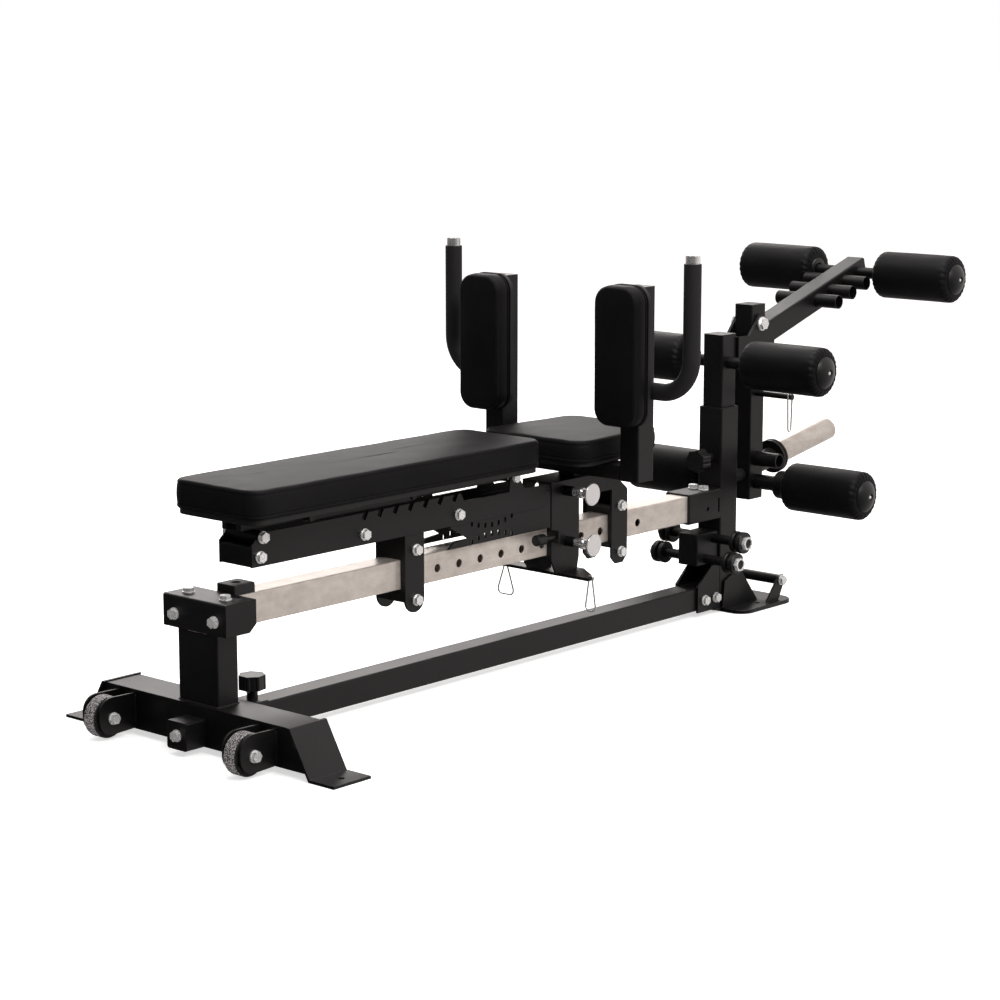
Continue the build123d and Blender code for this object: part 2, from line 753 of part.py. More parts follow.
with BuildPart() as telescoping_tube:
    tube_along_z(
        inner_tube_top - inner_tube_length,
        inner_tube_top,
        inner_tube_size,
        inner_tube_size,
        tube_wall,
        tower_x,
    )
    with BuildSketch(Plane(origin=(tower_x, 0, inner_tube_top - 2))):
        RectangleRounded(inner_tube_size - 4, inner_tube_size - 4, 2)
    extrude(amount=2)
    for step in (-2, -1, 0, 1, 2):
        rod_along_x(
            inner_front_x - 1,
            inner_front_x + 6,
            lock_radius + 0.5,
            0,
            tower_pin_height + step * tower_pin_pitch,
            Mode.SUBTRACT,
        )
    rod_along_y(-40, 40, axle_radius + running, tower_x, roller_axle_height, mode=Mode.SUBTRACT)
    with BuildSketch(side_plane(head_outer)):
        with BuildLine():
            Polyline(
                (head_web_x, inner_tube_top - 70),
                (developer_x + 47, inner_tube_top - 70),
                (developer_x + 47, inner_tube_top - 22),
                (developer_x + 20, developer_pivot_height + 4),
                (developer_x + 8, developer_pivot_height + 19),
                (developer_x - 8, developer_pivot_height + 19),
                (developer_x - 20, developer_pivot_height + 4),
                (developer_x - 42, inner_tube_top - 8),
                (head_web_x, inner_tube_top - 8),
                close=True,
            )
        make_face()
        with Locations((developer_x, developer_pivot_height)):
            Circle(pivot_radius + 0.1, mode=Mode.SUBTRACT)
    extrude(amount=2 * head_outer)
    with Locations((head_web_x + 6 + 100, 0, inner_tube_top - 24)):
        Box(200, 2 * (head_outer - 6), 200, mode=Mode.SUBTRACT)
written(telescoping_tube.part, "telescoping_tube")

with BuildPart() as pivot_bolt:
    rod_along_y(-head_outer - 0.5, head_outer + 0.5, pivot_radius, developer_x, developer_pivot_height)
    for y in (-head_outer - 3, head_outer):
        rod_along_y(y, y + 3, 15, developer_x, developer_pivot_height)
    for y in (-head_outer - 3, head_outer + 3 + bolt_head_height):
        with BuildSketch(side_plane(y, developer_x, developer_pivot_height)):
            RegularPolygon(11, 6, major_radius=False)
        extrude(amount=bolt_head_height)
written(pivot_bolt.part, "pivot_bolt")

middle_axle_half = middle_roller_inner_face + roller_length - axle_end_gap

with BuildPart() as middle_axle:
    rod_along_y(-middle_axle_half, middle_axle_half, axle_radius, tower_x, roller_axle_height)
written(middle_axle.part, "middle_axle")

# ---------------------------------------------------------------- leg developer

swing_back_x = developer_x + swing_tube_depth / 2
swing_front_x = developer_x - swing_tube_depth / 2
socket_radius = axle_radius + 3.5
collar_radius = 30.0
collar_end = low_roller_inner_face - 2
collar_start = collar_end - 30
low_socket_half = collar_start - 2
clip_peg_z = low_axle_height + 192
clip_peg_end = 118.0

with BuildPart() as swing_tube:
    tube_along_z(
        swing_tube_bottom, swing_tube_top, swing_tube_depth, swing_tube_width, tube_wall, developer_x
    )
    with BuildSketch(Plane(origin=(developer_x, 0, swing_tube_top - 2))):
        RectangleRounded(swing_tube_depth - 4, swing_tube_width - 4, 2)
    extrude(amount=2)
    pivot_half = swing_tube_width / 2 - 1
    rod_along_y(-pivot_half, pivot_half, 14, developer_x, developer_pivot_height)
    rod_along_y(-spare_socket_half, spare_socket_half, socket_radius, developer_x, spare_socket_height)
    rod_along_y(-low_socket_half, low_socket_half, socket_radius, developer_x, low_axle_height)
    rod_along_y(-clip_peg_end, -swing_tube_width / 2 + 1, 6, developer_x - 4, clip_peg_z)
    rod_along_y(-40, 40, pivot_radius + running, developer_x, developer_pivot_height, mode=Mode.SUBTRACT)
    rod_along_y(-100, 100, axle_radius + 0.5, developer_x, spare_socket_height, mode=Mode.SUBTRACT)
    rod_along_y(-100, 100, axle_radius + running, developer_x, low_axle_height, mode=Mode.SUBTRACT)
written(swing_tube.part, "swing_tube")

arm_angle = radians(arm_rise_deg)
arm_direction = (cos(arm_angle), 0, sin(arm_angle))
arm_size = 48.0
stub_radius = axle_radius + 2.5


def arm_point(reach):
    """X and Z of a point on the arm's middle line, that far from the swing tube's middle."""
    return developer_x + reach * cos(arm_angle), arm_root_height + reach * sin(arm_angle)


stub_reaches = [arm_axle_reach - arm_stub_pitch * (n + 1) for n in range(arm_stub_count)]
arm_axle_x, arm_axle_z = arm_point(arm_axle_reach)

arm_root = Plane(origin=(developer_x, 0, arm_root_height), x_dir=(0, 1, 0), z_dir=arm_direction)

with BuildPart() as developer_arm:
    with BuildSketch(arm_root):
        RectangleRounded(arm_size - 2, arm_size, 4)
        RectangleRounded(arm_size - 2 - 2 * tube_wall, arm_size - 2 * tube_wall, 2, mode=Mode.SUBTRACT)
    extrude(amount=arm_reach)
    with BuildSketch(arm_root.offset(arm_reach - 2)):
        RectangleRounded(arm_size - 4, arm_size - 4, 2)
    extrude(amount=2)
    for reach in stub_reaches:
        rod_along_y(-arm_stub_half, arm_stub_half, stub_radius, *arm_point(reach))
    for reach in stub_reaches:
        rod_along_y(-100, 100, axle_radius + 0.5, *arm_point(reach), Mode.SUBTRACT)
    rod_along_y(-100, 100, axle_radius + running, arm_axle_x, arm_axle_z, mode=Mode.SUBTRACT)
    with Locations((swing_back_x - 100, 0, arm_root_height)):
        Box(200, 100, 200, mode=Mode.SUBTRACT)
written(developer_arm.part, "developer_arm")

top_axle_half = top_roller_inner_face + roller_length - axle_end_gap

with BuildPart() as top_axle:
    rod_along_y(-top_axle_half, top_axle_half, axle_radius, arm_axle_x, arm_axle_z)
written(top_axle.part, "top_axle")

low_axle_half = low_roller_inner_face + roller_length - axle_end_gap

with BuildPart() as low_axle:
    rod_along_y(-low_axle_half, low_axle_half, axle_radius, developer_x, low_axle_height)
    rod_along_y(collar_start, collar_end, collar_radius, developer_x, low_axle_height)
    fillet(low_axle.edges().filter_by(GeomType.CIRCLE).filter_by(lambda e: e.radius > axle_radius + 1), 5)
    rod_along_y(low_socket_half, collar_start, 22, developer_x, low_axle_height)
    mirror(about=Plane.XZ)
written(low_axle.part, "low_axle")

horn_angle = radians(horn_rise_deg)
horn_plane = Plane(
    origin=(swing_back_x, 0, horn_root_height),
    x_dir=(0, 1, 0),
    z_dir=(cos(horn_angle), 0, sin(horn_angle)),
)

with BuildPart() as horn_flange:
    with BuildSketch(horn_plane.offset(-10)):
        Circle(21)
    extrude(amount=10 + horn_flange_offset)
    with BuildSketch(horn_plane.offset(horn_flange_offset)):
        Circle(horn_flange_radius)
    extrude(amount=6)
    with BuildSketch(horn_plane.offset(horn_flange_offset + 6)):
        Circle(horn_flange_radius - 3)
    extrude(amount=3)
    with BuildSketch(horn_plane.offset(horn_flange_offset + 9)):
        Circle(horn_flange_radius)
    extrude(amount=5)
    with Locations((swing_back_x - 50, 0, horn_root_height)):
        Box(100, 100, 100, mode=Mode.SUBTRACT)
written(horn_flange.part, "horn_flange")

with BuildPart() as weight_horn:
    with BuildSketch(horn_plane.offset(horn_flange_offset + 14)):
        Circle(horn_sleeve_radius)
    extrude(amount=horn_sleeve_length)
    chamfer(weight_horn.edges().group_by(Axis.X)[-1], 3)
    with BuildSketch(horn_plane.offset(horn_flange_offset + 14 + horn_sleeve_length - 30)):
        Circle(horn_sleeve_radius - 3)
    extrude(amount=40, mode=Mode.SUBTRACT)
written(weight_horn.part, "weight_horn")

with BuildPart() as swing_bumper:
    rod_along_x(tower_back_x + slack, swing_front_x, 14, 0, low_axle_height + 15)
    fillet(swing_bumper.edges().group_by(Axis.X)[0], 3)
written(swing_bumper.part, "swing_bumper")

# ---------------------------------------------------------------- foam rollers

roller_places = (
    ("roller_top", arm_axle_x, arm_axle_z, top_roller_inner_face),
    ("roller_middle", tower_x, roller_axle_height, middle_roller_inner_face),
    ("roller_low", developer_x, low_axle_height, low_roller_inner_face),
)


def foam_roller(x, z, inner_face, side):
    """Foam roller with gathered, rounded ends, a blind bore and a domed outer cap."""
    outer_face = inner_face + roller_length
    ball = (dome_rim**2 + roller_dome**2) / (2 * roller_dome)
    half_way = asin(dome_rim / ball) / 2
    dome_side = (outer_face + roller_dome - ball + ball * cos(half_way), ball * sin(half_way))
    with BuildPart() as roller:
        with BuildSketch(Plane(origin=(x, 0, z), x_dir=(0, 1, 0), z_dir=(1, 0, 0))):
            with BuildLine():
                Polyline((inner_face, 0), (inner_face, roller_radius - 12))
                Line((inner_face, roller_radius - 12), (inner_face + 10, roller_radius))
                Line((inner_face + 10, roller_radius), (outer_face - 10, roller_radius))
                Line((outer_face - 10, roller_radius), (outer_face, roller_radius - 12))
                Line((outer_face, roller_radius - 12), (outer_face, dome_rim))
                ThreePointArc((outer_face, dome_rim), dome_side, (outer_face + roller_dome, 0))
                Line((outer_face + roller_dome, 0), (inner_face, 0))
            make_face()
        revolve(axis=Axis((x, 0, z), (0, 1, 0)))
        rod_along_y(inner_face - 1, outer_face - 3, axle_radius + running, x, z, Mode.SUBTRACT)
    if side > 0:
        return roller.part
    return mirror(roller.part, about=Plane.XZ)


for stem, x, z, inner_face in roller_places:
    for side, suffix in ((-1, "near"), (1, "far")):
        written(foam_roller(x, z, inner_face, side), f"{stem}_{suffix}")

# ---------------------------------------------------------------- bench frame

slot_xs = [from_post(first_slot + slot_pitch * n) for n in range(slot_count)]
ladder_end = from_post(seat_carriage_start) - 22
slot_depth = 14.0
slot_width = 10.0
box_size = 38.0
box_x = from_post(bench_front + box_size / 2 + 2)
box_z = ladder_bottom + box_size / 2
rest_x = from_post(94)
rest_radius = 12.0
rest_z = back_pad_bottom - 23.5 - rest_radius - 0.5
ladder_bolts = [
    (box_x, box_z - 2),
    (rest_x, rest_z),
    (from_post(345), ladder_bottom + 19),
    (from_post(597), ladder_bottom + 20),
]

with BuildPart() as ladder_plates:
    with BuildSketch(side_plane(-ladder_outer + plate)):
        with BuildLine():
            Polyline(
                (from_post(bench_front + 2), ladder_bottom),
                (from_post(bench_front + 2), ladder_bottom + 40),
                (from_post(bench_front + 20), ladder_top - 4),
                (from_post(bench_front + 34), ladder_top),
                (from_post(604), ladder_top),
                (from_post(612), ladder_low_top),
                (ladder_end, ladder_low_top),
                (ladder_end, ladder_bottom),
                close=True,
            )
        make_face()
        with Locations((hinge_x, back_hinge_height)):
            Circle(14)
        Polygon(
            (hinge_x - 14, back_hinge_height),
            (hinge_x - 18, ladder_low_top - 1),
            (hinge_x + 30, ladder_low_top - 1),
            (hinge_x + 14, back_hinge_height - 6),
            align=None,
        )
        for x in slot_xs:
            with Locations(Location((x, ladder_top), -30)):
                Rectangle(slot_width, 2 * slot_depth, mode=Mode.SUBTRACT)
        with Locations((hinge_x, back_hinge_height)):
            Circle(pin_radius + 0.1, mode=Mode.SUBTRACT)
        with Locations(*ladder_bolts):
            Circle(bolt_hole, mode=Mode.SUBTRACT)
    extrude(amount=plate)
    mirror(about=Plane.XZ)
written(ladder_plates.part, "ladder_plates")

inner_half = ladder_outer - plate

with BuildPart() as bench_spacers:
    tube_along_y(inner_half, box_size, box_size, tube_wall, box_x, box_z)
    rod_along_y(-inner_half, inner_half, rest_radius, rest_x, rest_z)
    rod_along_y(-ladder_outer, ladder_outer, bolt_hole, rest_x, rest_z, mode=Mode.SUBTRACT)
written(bench_spacers.part, "bench_spacers")

with BuildPart() as back_hinge_pin:
    rod_along_y(-ladder_outer - 1, ladder_outer + 1, pin_radius, hinge_x, back_hinge_height)
    for y in (-ladder_outer - 6, ladder_outer):
        rod_along_y(y, y + 6, 9, hinge_x, back_hinge_height)
written(back_hinge_pin.part, "back_hinge_pin")

# Perforated link plates between the bench frame and the seat carriage.
link_start = from_post(572)
link_end = from_post(seat_carriage_start) - 4
link_holes = 8

with BuildPart() as link_plates:
    with BuildSketch(side_plane(-inner_half + plate)):
        Polygon(
            (link_start, rail_top + 3),
            (link_start + 16, rail_top + 14),
            (link_start + 55, rail_top + 17),
            (link_start + 6, rail_top + 44),
            (link_start + 6, ladder_low_top - 14),
            (link_end, ladder_low_top - 14),
            (link_end, rail_top + 3),
            align=None,
        )
        for n in range(link_holes - 1):
            x = link_start + 66 + 19 * n
            bow = 9 * (1 - ((n - 3) / 3) ** 2)
            with Locations((x, rail_top + 43 - bow), (x, rail_top + 8 + bow)):
                RectangleRounded(6, 10, 2.2, mode=Mode.SUBTRACT)
    extrude(amount=plate)
    mirror(about=Plane.XZ)
written(link_plates.part, "link_plates")

# ---------------------------------------------------------------- carriages on the rail

strap_depth = 51.0
strap_bottom = rail_bottom - 45
strap_bolt_low = rail_bottom - 22
strap_bolt_high = rail_top + 17
window_half = rail_width / 2 + 1.5
front_x = from_post(front_carriage_start)
rear_x = from_post(seat_carriage_end)


def rail_window(x):
    """Cut the window that the rail passes through in a cross web."""
    with Locations((x, 0, rail_middle_z)):
        Box(6 * plate, 2 * window_half, rail_height + 3, mode=Mode.SUBTRACT)


strap_middle_x = front_x + strap_depth / 2
strap_round = strap_depth / 2
strap_straight = ladder_bottom - slack - strap_bottom - strap_round
web_bottom = rail_bottom - 23

with BuildPart() as front_carriage:
    with BuildSketch(side_plane(-carriage_inner)):
        with Locations((strap_middle_x, strap_bottom + strap_round)):
            Circle(strap_round)
            Rectangle(strap_depth, strap_straight, align=(Align.CENTER, Align.MIN))
        with Locations((front_x + 30, strap_bolt_low), (front_x + 30, strap_bolt_high)):
            Circle(bolt_hole, mode=Mode.SUBTRACT)
    extrude(amount=plate)
    mirror(about=Plane.XZ)
    with Locations((front_x + plate / 2, 0, (web_bottom + ladder_bottom) / 2)):
        Box(plate, 2 * carriage_inner, ladder_bottom - web_bottom)
    rail_window(front_x)
written(front_carriage.part, "front_carriage")

leg_start = from_post(seat_carriage_start)
leg_end = leg_start + 84
strap_start = rear_x - 50
shelf_top = rail_bottom - 37
pull_pin_radius = rail_hole_radius - 0.5
barrel_length = 24.0
seat_pin_place = (pin_x - 5, rail_top + 71)
rail_pin_place = (pin_x, rail_middle_z - 3)
window_top = rail_top + 53
screw_y = -carriage_outer - 8
screw_z = rail_bottom + 41
barrel_start = -carriage_outer - barrel_length

with BuildPart() as seat_carriage:
    with BuildSketch(side_plane(-carriage_inner)):
        with BuildLine():
            Polyline(
                (leg_start, top_plate_z),
                (leg_start, rail_bottom - 9),
                (leg_start + 14, shelf_top),
                (leg_end - 6, shelf_top),
                (leg_end, rail_bottom - 9),
                (leg_end, window_top),
                (strap_start, window_top),
                (strap_start, strap_bottom + 14),
                (strap_start + 14, strap_bottom),
                (rear_x - 14, strap_bottom),
                (rear_x, strap_bottom + 14),
                (rear_x, window_top - 4),
                (strap_start + 4, top_plate_z),
                close=True,
            )
        make_face()
        with Locations((rear_x - 20, strap_bolt_low), (rear_x - 20, strap_bolt_high)):
            Circle(bolt_hole, mode=Mode.SUBTRACT)
        with Locations(seat_pin_place, rail_pin_place):
            Circle(pull_pin_radius + running, mode=Mode.SUBTRACT)
    extrude(amount=plate)
    mirror(about=Plane.XZ)
    for x in (leg_start, rear_x - plate):
        with Locations((x + plate / 2, 0, (web_bottom + window_top) / 2)):
            Box(plate, 2 * carriage_inner, window_top - web_bottom)
        rail_window(x + plate / 2)
    with Locations(((leg_start + strap_start) / 2, 0, top_plate_z)):
        Box(strap_start - leg_start, 2 * carriage_outer, 4, align=(Align.CENTER, Align.CENTER, Align.MIN))
    with Locations((leg_start + plate / 2, screw_y, screw_z)):
        Box(plate, 20, 24)
    rod_along_x(leg_start - 10, leg_start + 10, bolt_radius + running, screw_y, screw_z, Mode.SUBTRACT)
    for x, z in (seat_pin_place, rail_pin_place):
        rod_along_y(barrel_start, -carriage_outer, 10, x, z)
    for x, z in (seat_pin_place, rail_pin_place):
        rod_along_y(barrel_start - 1, -carriage_inner, pull_pin_radius + running, x, z, mode=Mode.SUBTRACT)
written(seat_carriage.part, "seat_carriage")

# Glide liners between the carriages and the rail.
liner_gap = rail_width / 2 + glide

with BuildPart() as glide_liners:
    for start, end in (
        (front_x + plate + 1, front_x + strap_depth - 2),
        (leg_start + plate + 1, leg_start + plate + 25),
        (rear_x - 46, rear_x - plate - 1),
    ):
        middle = (start + end) / 2
        with Locations((middle, 0, rail_middle_z)):
            Box(end - start, 2 * carriage_inner, rail_height + 24)
            Box(end - start + 1, 2 * liner_gap, rail_height + 2 * glide, mode=Mode.SUBTRACT)
    with Locations((rail_pin_place[0], 0, rail_pin_place[1])):
        Box(16, 80, 16, mode=Mode.SUBTRACT)
written(glide_liners.part, "glide_liners")

shelf_half = 112.0
shelf_thickness = 6.0
clip_y = 106.0
clip_x = leg_start + 33

with BuildPart() as band_shelf:
    with BuildSketch(Plane.XY.offset(shelf_top - shelf_thickness)):
        Polygon(
            (clip_x - 9, -shelf_half),
            (clip_x + 9, -shelf_half),
            (clip_x + 60, -44),
            (clip_x + 60, 44),
            (clip_x + 9, shelf_half),
            (clip_x - 9, shelf_half),
            align=None,
        )
        with Locations((clip_x, -clip_y), (clip_x, clip_y)):
            Circle(3.4, mode=Mode.SUBTRACT)
    extrude(amount=shelf_thickness)
written(band_shelf.part, "band_shelf")

# Pull pins with disc caps, in barrels on the near leg.
pin_travel = 12.0
pin_collar_radius = 11.0
disc_radius = 22.0


def pull_pin(x, z):
    """Pin, collar and disc cap, stored pulled back clear of the rail."""
    collar_face = barrel_start - pin_travel - 1
    with BuildPart() as pin:
        rod_along_y(collar_face - 30, -rail_width / 2 - slack, pull_pin_radius, x, z)
        rod_along_y(collar_face - 10, collar_face, pin_collar_radius, x, z)
        collar_edges = pin.edges().filter_by(GeomType.CIRCLE).filter_by(lambda e: e.radius > 10)
        fillet(collar_edges, 2)
        rod_along_y(collar_face - 34, collar_face - 30, disc_radius, x, z)
        disc_edges = pin.edges().filter_by(GeomType.CIRCLE).filter_by(lambda e: e.radius > 21)
        fillet(disc_edges, 1.2)
    return pin.part


written(pull_pin(*rail_pin_place), "rail_pull_pin")
written(pull_pin(*seat_pin_place), "seat_pull_pin")

with BuildPart() as play_screw:
    rod_along_x(leg_start - 36, leg_start + 8, bolt_radius, screw_y, screw_z)
    rod_along_x(leg_start - 58, leg_start - 32, 11, screw_y, screw_z)
    fillet(play_screw.edges().filter_by(GeomType.CIRCLE).filter_by(lambda e: e.radius > 10), 3)
written(play_screw.part, "play_screw")

carriage_seats = [
    (Plane(origin=(x, side * carriage_outer, z), z_dir=(0, side, 0)), plate + 2)
    for x in (front_x + 30, rear_x - 20)
    for z in (strap_bolt_low, strap_bolt_high)
    for side in (-1, 1)
]
ladder_seats = [
    (Plane(origin=(x, side * ladder_outer, z), z_dir=(0, side, 0)), plate - 0.5)
    for x, z in ladder_bolts
    for side in (-1, 1)
]

with BuildPart() as bench_bolts:
    for seat, grip in carriage_seats + ladder_seats:
        hex_bolt(seat, grip)
written(bench_bolts.part, "bench_bolts")

# ---------------------------------------------------------------- back pad and prop

with BuildPart() as back_pad:
    with BuildSketch(Plane.XY.offset(back_pad_bottom)):
        with Locations((from_post((back_pad_start + back_pad_end) / 2), 0)):
            RectangleRounded(back_pad_end - back_pad_start, 2 * back_pad_half_width, 28)
    extrude(amount=back_pad_top - back_pad_bottom)
    fillet(back_pad.faces().sort_by(Axis.Z)[-1].edges(), 8)
written(back_pad.part, "back_pad")

frame_rail_inner = 12.0
frame_rail_outer = 24.0
frame_rail_bottom = back_pad_bottom - 23.5
prop_notch = pin_radius + 3
notch_depth = back_hinge_height + prop_notch - frame_rail_bottom

with BuildPart() as back_pad_frame:
    with BuildSketch(side_plane(-frame_rail_inner)):
        with BuildLine():
            Polyline(
                (from_post(60), frame_rail_bottom),
                (from_post(60), back_pad_bottom),
                (hinge_x - 2, back_pad_bottom),
                (hinge_x + 10, back_hinge_height + 8),
                (hinge_x + 10, back_hinge_height - 8),
                (hinge_x, frame_rail_bottom - 4),
                (hinge_x - 24, frame_rail_bottom),
                close=True,
            )
        make_face()
        with Locations((prop_rod_x, frame_rail_bottom)):
            Rectangle(2 * prop_notch, 2 * notch_depth, mode=Mode.SUBTRACT)
        with Locations((hinge_x, back_hinge_height), (prop_x, back_hinge_height)):
            Circle(pin_radius + running, mode=Mode.SUBTRACT)
    extrude(amount=frame_rail_outer - frame_rail_inner)
    mirror(about=Plane.XZ)
    for x in (from_post(300), from_post(640)):
        with Locations((x, 0, back_pad_bottom - 5)):
            Box(40, 2 * frame_rail_outer, 10)
written(back_pad_frame.part, "back_pad_frame")

prop_inner = 28.0
prop_outer = 33.0
prop_half_height = 8.0

with BuildPart() as ladder_prop:
    with BuildSketch(side_plane(-prop_inner)):
        with Locations(((prop_x + prop_rod_x) / 2, back_hinge_height)):
            SlotCenterToCenter(prop_length, 2 * prop_half_height)
    extrude(amount=prop_outer - prop_inner)
    mirror(about=Plane.XZ)
    rod_along_y(-ladder_outer - 6, ladder_outer + 6, pin_radius, prop_rod_x, back_hinge_height)
    rod_along_y(-prop_outer - 3, prop_outer + 3, pin_radius, prop_x, back_hinge_height)
written(ladder_prop.part, "ladder_prop")

# ---------------------------------------------------------------- seat and split pads

with BuildPart() as seat_pad:
    with BuildSketch(Plane.XY.offset(seat_bottom)):
        with BuildLine():
            FilletPolyline(
                (from_post(seat_start), -seat_half_front),
                (from_post(seat_end), -seat_half_rear),
                (from_post(seat_end), seat_half_rear),
                (from_post(seat_start), seat_half_front),
                radius=36,
                close=True,
            )
        make_face()
    extrude(amount=seat_top - seat_bottom)
    fillet(seat_pad.faces().sort_by(Axis.Z)[-1].edges(), 8)
written(seat_pad.part, "seat_pad")

post_middle_x = from_post(pad_post_start + pad_post_size / 2)
post_middle_y = pad_post_spacing / 2
post_inner_y = post_middle_y - pad_post_width / 2
post_outer_y = post_middle_y + pad_post_width / 2
crossbar_height = 30.0

neck_bottom = top_plate_z + 4

with BuildPart() as pad_frame:
    tube_along_y(
        post_inner_y,
        pad_post_size,
        crossbar_height,
        tube_wall,
        post_middle_x,
        pad_post_bottom + crossbar_height / 2,
    )
    with Locations((post_middle_x + 18, 0, (neck_bottom + seat_bottom) / 2)):
        Box(44, 40, seat_bottom - neck_bottom)
    for y in (-post_middle_y, post_middle_y):
        tube_along_z(
            pad_post_bottom, pad_post_top, pad_post_size, pad_post_width, tube_wall, post_middle_x, y
        )
        with BuildSketch(Plane(origin=(post_middle_x, y, pad_post_top - 2))):
            RectangleRounded(pad_post_size - 4, pad_post_width - 4, 2)
        extrude(amount=2)
written(pad_frame.part, "pad_frame")

board_front_x = from_post(pad_post_start) - pad_board_thickness


def pad_outline(x, y, margin):
    """Rounded upright outline of a split pad, or of its board with a margin, at one X."""
    with BuildSketch(facing_x(x, y, split_pad_middle)) as profile:
        RectangleRounded(split_pad_width + 2 * margin, split_pad_height + 2 * margin, 32 + margin)
    return profile.sketch


with BuildPart() as pad_boards:
    for side in (-1, 1):
        extrude(pad_outline(board_front_x, side * post_middle_y, 2), amount=pad_board_thickness)
written(pad_boards.part, "pad_boards")

for side, suffix in ((-1, "near"), (1, "far")):
    with BuildPart() as split_pad:
        outline = pad_outline(board_front_x - split_pad_thickness, side * post_middle_y, 0)
        extrude(outline, amount=split_pad_thickness)
        fillet(split_pad.faces().sort_by(Axis.X)[0].edges(), 6)
    written(split_pad.part, f"split_pad_{suffix}")

# Curved handles with foam grips.
grip_start = post_outer_y + 6
grip_end = handle_top - 16


def handle_sweep(start_y, top_z, radius, bore=0.0):
    """Round bar or sleeve along the handle's bent line, on the far side."""
    with BuildPart() as bar:
        with BuildLine(facing_x(post_middle_x)) as route:
            FilletPolyline(
                (start_y, handle_leg_height),
                (handle_half_spread, handle_leg_height),
                (handle_half_spread, top_z),
                radius=handle_bend,
            )
        start = Plane(origin=(post_middle_x, start_y, handle_leg_height), z_dir=(0, 1, 0))
        with BuildSketch(start):
            Circle(radius)
            if bore:
                Circle(bore, mode=Mode.SUBTRACT)
        sweep(path=route.line)
    return bar.part


far_bar = handle_sweep(post_outer_y, handle_top, handle_radius)
far_grip = handle_sweep(grip_start, grip_end, grip_radius, handle_radius + running)

with BuildPart() as handle_bars:
    add(far_bar)
    mirror(about=Plane.XZ)
written(handle_bars.part, "handle_bars")

with BuildPart() as handle_grips:
    add(far_grip)
    mirror(about=Plane.XZ)
written(handle_grips.part, "handle_grips")

# ---------------------------------------------------------------- hanging spring clips

wire_radius = 1.7


def wire_clip(plane, points, radii):
    """Closed loop of spring wire along rounded corners in one plane."""
    with BuildPart() as clip:
        with BuildLine(plane) as route:
            FilletPolyline(*points, radius=radii, close=True)
        with BuildSketch(Plane(origin=route.line @ 0, z_dir=route.line % 0)):
            Circle(wire_radius)
        sweep(path=route.line)
    return clip.part


loop_top = shelf_top + 3.2
for side, suffix, width, drop in ((-1, "near", 24.0, 70.0), (1, "far", 40.0, 68.0)):
    across = Plane(origin=(clip_x, side * (clip_y + 5), loop_top), x_dir=(0, side, 0), z_dir=(side, 0, 0))
    right_half = ((5, 0), (5, -12), (width / 2, -drop + 12), (width / 2, -drop))
    left_half = tuple((-along, height) for along, height in reversed(right_half))
    bends = (9, 6, 3.5, 3.5, 3.5, 3.5, 6, 9)
    written(wire_clip(across, left_half + right_half, bends), f"shelf_clip_{suffix}")

peg_clip_plane = side_plane(-clip_peg_end + 7, developer_x - 4, clip_peg_z)
peg_loop = wire_clip(peg_clip_plane, ((-8.2, 8.2), (8.2, 8.2), (5, -74), (-5, -74)), 4.5)
written(peg_loop, "peg_clip")
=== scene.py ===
import json
import math

import bpy
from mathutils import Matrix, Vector, noise


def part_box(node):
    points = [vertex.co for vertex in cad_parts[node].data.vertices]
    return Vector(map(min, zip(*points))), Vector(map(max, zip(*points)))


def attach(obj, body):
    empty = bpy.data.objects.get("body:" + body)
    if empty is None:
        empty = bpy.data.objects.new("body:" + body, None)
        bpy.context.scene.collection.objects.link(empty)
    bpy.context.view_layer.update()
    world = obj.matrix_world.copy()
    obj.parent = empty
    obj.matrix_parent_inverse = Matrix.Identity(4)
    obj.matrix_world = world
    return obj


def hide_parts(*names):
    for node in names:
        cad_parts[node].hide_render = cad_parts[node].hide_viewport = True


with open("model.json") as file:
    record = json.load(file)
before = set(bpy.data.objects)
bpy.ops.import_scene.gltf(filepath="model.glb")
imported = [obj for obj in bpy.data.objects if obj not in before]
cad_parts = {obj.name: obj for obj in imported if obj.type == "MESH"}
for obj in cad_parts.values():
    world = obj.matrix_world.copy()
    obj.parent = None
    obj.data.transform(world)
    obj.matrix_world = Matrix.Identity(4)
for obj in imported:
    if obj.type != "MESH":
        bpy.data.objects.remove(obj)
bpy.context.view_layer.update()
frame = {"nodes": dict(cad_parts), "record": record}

# Looks of the roman chair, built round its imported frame. Metres, in the part's own frame:
# +X along the rail from the wheels to the tower, +Y to the far side, +Z up.

MM = 0.001
nodes = frame["nodes"]
body_of_node = {
    node: body
    for body, members in frame["record"]["behaviour"]["bodies"].items()
    for node in members
}

# ---------------------------------------------------------------- camera, floor and light

post_low, post_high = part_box("front_post")
post_x = (post_low.x + post_high.x) / 2
camera_from_post = Vector((-2.9573, -3.3075, 1.2527))
camera_yaw = math.radians(41.656)
camera_pitch = math.radians(10.474)
camera_lens = 94.2
sky_lean = (0.46, 0.04, 0.30)
sky_dark_at, sky_dark = 0.22, (0.020, 0.020, 0.021, 1)
sky_bright_at, sky_bright = 0.95, (0.78, 0.735, 0.72, 1)
floor_reach = 60.0
floor_drop = 0.5 * MM
floor_glow = 0.62


def add_camera():
    """Camera with a long lens, at the front corner and looking slightly down."""
    data = bpy.data.cameras.new("camera")
    data.lens = camera_lens
    data.sensor_width = 36.0
    data.clip_end = 60.0
    camera = bpy.data.objects.new("camera", data)
    camera.location = Vector((post_x, 0, 0)) + camera_from_post
    level = math.cos(camera_pitch)
    aim = Vector(
        (level * math.cos(camera_yaw), level * math.sin(camera_yaw), -math.sin(camera_pitch))
    )
    camera.rotation_euler = aim.to_track_quat("-Z", "Y").to_euler()
    bpy.context.collection.objects.link(camera)
    bpy.context.scene.camera = camera


